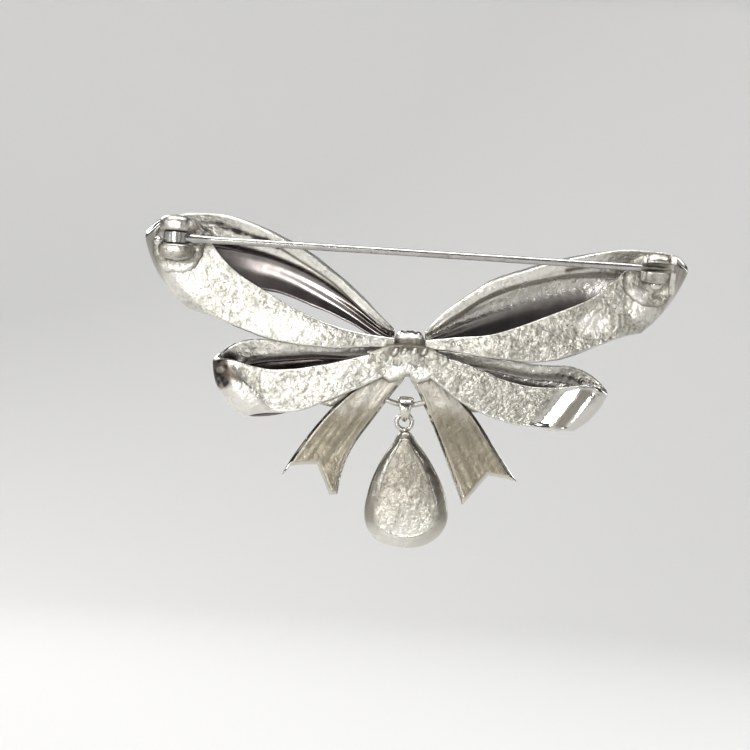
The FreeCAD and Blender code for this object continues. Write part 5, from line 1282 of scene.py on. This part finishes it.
# ------------------------------------------------------------------ stage: a pale cove all round, lights, camera
def stage_cove():
    """Pale floor sweeping up into a pale low wall; above it, and in four gaps between its pale stretches, the wall is
    dark grey.
    """
    prof = [(0.001, -0.075)]
    prof += [(r, -0.075) for r in np.linspace(0.04, 0.30, 12)]
    R = 0.14
    for k in range(1, 19):
        f = math.pi / 2 * k / 18
        prof.append((0.30 + R * math.sin(f), -0.075 + R * (1 - math.cos(f))))
    prof += [(0.44, z) for z in np.linspace(0.075, 0.44, 24)]
    pr = np.array(prof)
    nu = 180
    a = np.linspace(0, 2 * math.pi, nu, endpoint=False)
    P = np.stack([pr[:, :1] * np.cos(a)[None], pr[:, :1] * np.sin(a)[None], pr[:, 1:] * np.ones(nu)[None]], -1) * 1000
    deg = np.degrees(a)

    def gap(c, half):
        dd = np.abs((deg - c + 180) % 360 - 180)
        return 1 - smooth(dd, half - 7, half + 7)

    z = P[..., 2]
    # how far up the pale paper goes, by direction
    top = np.zeros_like(deg)
    for c, half, level in ((90, 20, 70), (180, 20, 96), (270, 24, 122), (0, 18, 96)):
        top = np.maximum(top, (1 - smooth(np.abs((deg - c + 180) % 360 - 180), half, half + 9)) * (level + 12))
    top = (top - 12)[None, :]
    tone = smooth(z, top - 12, top + 34)
    near = (1 - smooth(np.abs((deg - 90 + 180) % 360 - 180), 20, 34))[None, :]
    tone = np.maximum(tone, 0.55 * near * smooth(z, 0, 80))
    F = grid_faces(len(pr), nu)
    ob = make_mesh("stage_cove", P.reshape(-1, 3), [f[::-1] for f in F], {"tone": tone.reshape(-1)}, inside_box=False)
    m = bpy.data.materials.new("stage_paper")
    m.use_nodes = True
    nt = m.node_tree
    b = nt.nodes["Principled BSDF"]
    b.inputs["Roughness"].default_value = 0.95
    b.inputs["Specular IOR Level"].default_value = 0.05
    at = nt.nodes.new("ShaderNodeAttribute")
    at.attribute_name = "tone"
    mx = nt.nodes.new("ShaderNodeMix")
    mx.data_type = "RGBA"
    mx.inputs[6].default_value = (0.72, 0.716, 0.708, 1)
    mx.inputs[7].default_value = (0.045, 0.045, 0.050, 1)
    nt.links.new(at.outputs["Fac"], mx.inputs[0])
    nt.links.new(mx.outputs[2], b.inputs["Base Color"])
    set_material(ob, m)
    return ob


stage_cove()

world = bpy.data.worlds.new("soft_studio")
bpy.context.scene.world = world
world.use_nodes = True
bg = world.node_tree.nodes["Background"]
bg.inputs[0].default_value = (0.92, 0.95, 1.0, 1)
bg.inputs[1].default_value = 0.25


def area(name, loc, target, size, power, color=(1, 1, 1)):
    li = bpy.data.lights.new(name, "AREA")
    li.shape = "RECTANGLE"
    li.size, li.size_y = size
    li.energy = power
    li.color = color
    ob = bpy.data.objects.new(name, li)
    bpy.context.scene.collection.objects.link(ob)
    ob.location = loc
    ob.rotation_euler = (Vector(target) - Vector(loc)).to_track_quat("-Z", "Y").to_euler()
    ob.visible_camera = False
    return ob


area("key_back", (0.085, 0.350, 0.045), (0.015, 0.0, -0.01), (0.085, 0.085), 0.42, (1.0, 0.99, 0.97))
area("side_back", (0.27, 0.20, 0.10), (0.0, 0.0, -0.01), (0.06, 0.16), 0.20, (0.95, 0.975, 1.0))
area("upper_back", (0.10, 0.20, 0.33), (0.005, 0.0, 0.0), (0.10, 0.08), 0.20, (1.0, 0.99, 0.97))
area("low_back", (-0.20, 0.26, 0.09), (0.0, 0.0, -0.01), (0.05, 0.12), 0.10, (1.0, 0.985, 0.96))
area("top", (0.0, 0.0, 0.43), (0, 0, 0), (0.36, 0.30), 0.80)
area("wash_back", (0.0, 0.10, 0.42), (0.0, -0.44, 0.02), (0.34, 0.10), 0.85)
area("wash_front", (0.0, -0.10, 0.42), (0.0, 0.44, -0.02), (0.34, 0.10), 0.40)
area("key_front", (0.17, -0.27, 0.16), (0.0, 0.0, -0.01), (0.16, 0.12), 0.55, (1.0, 0.99, 0.97))
area("fill_front", (-0.26, -0.20, 0.08), (0.0, 0.0, -0.01), (0.08, 0.20), 0.22, (0.96, 0.98, 1.0))

cam_data = bpy.data.cameras.new("main_camera")
cam_data.sensor_width = 36.0
DIST, WIDTH = 0.230, 0.0825
cam_data.lens = 36.0 * DIST / WIDTH
cam_data.clip_start = 0.01
cam_data.clip_end = 5
cam = bpy.data.objects.new("main_camera", cam_data)
bpy.context.scene.collection.objects.link(cam)
roll = math.radians(3.7)
right = Vector((-math.cos(roll), 0, math.sin(roll)))
up = Vector((math.sin(roll), 0, math.cos(roll)))
back = Vector((0, 1, 0))
target = Vector((3.58 * MM, -PY * MM, -13.51 * MM))
mat = Matrix((right, up, back)).transposed().to_4x4()
mat.translation = target + back * DIST
cam.matrix_world = mat
bpy.context.scene.camera = cam
bpy.context.scene.view_settings.view_transform = "Standard"
bpy.context.scene.view_settings.look = "None"
bpy.context.scene.view_settings.exposure = 0.0
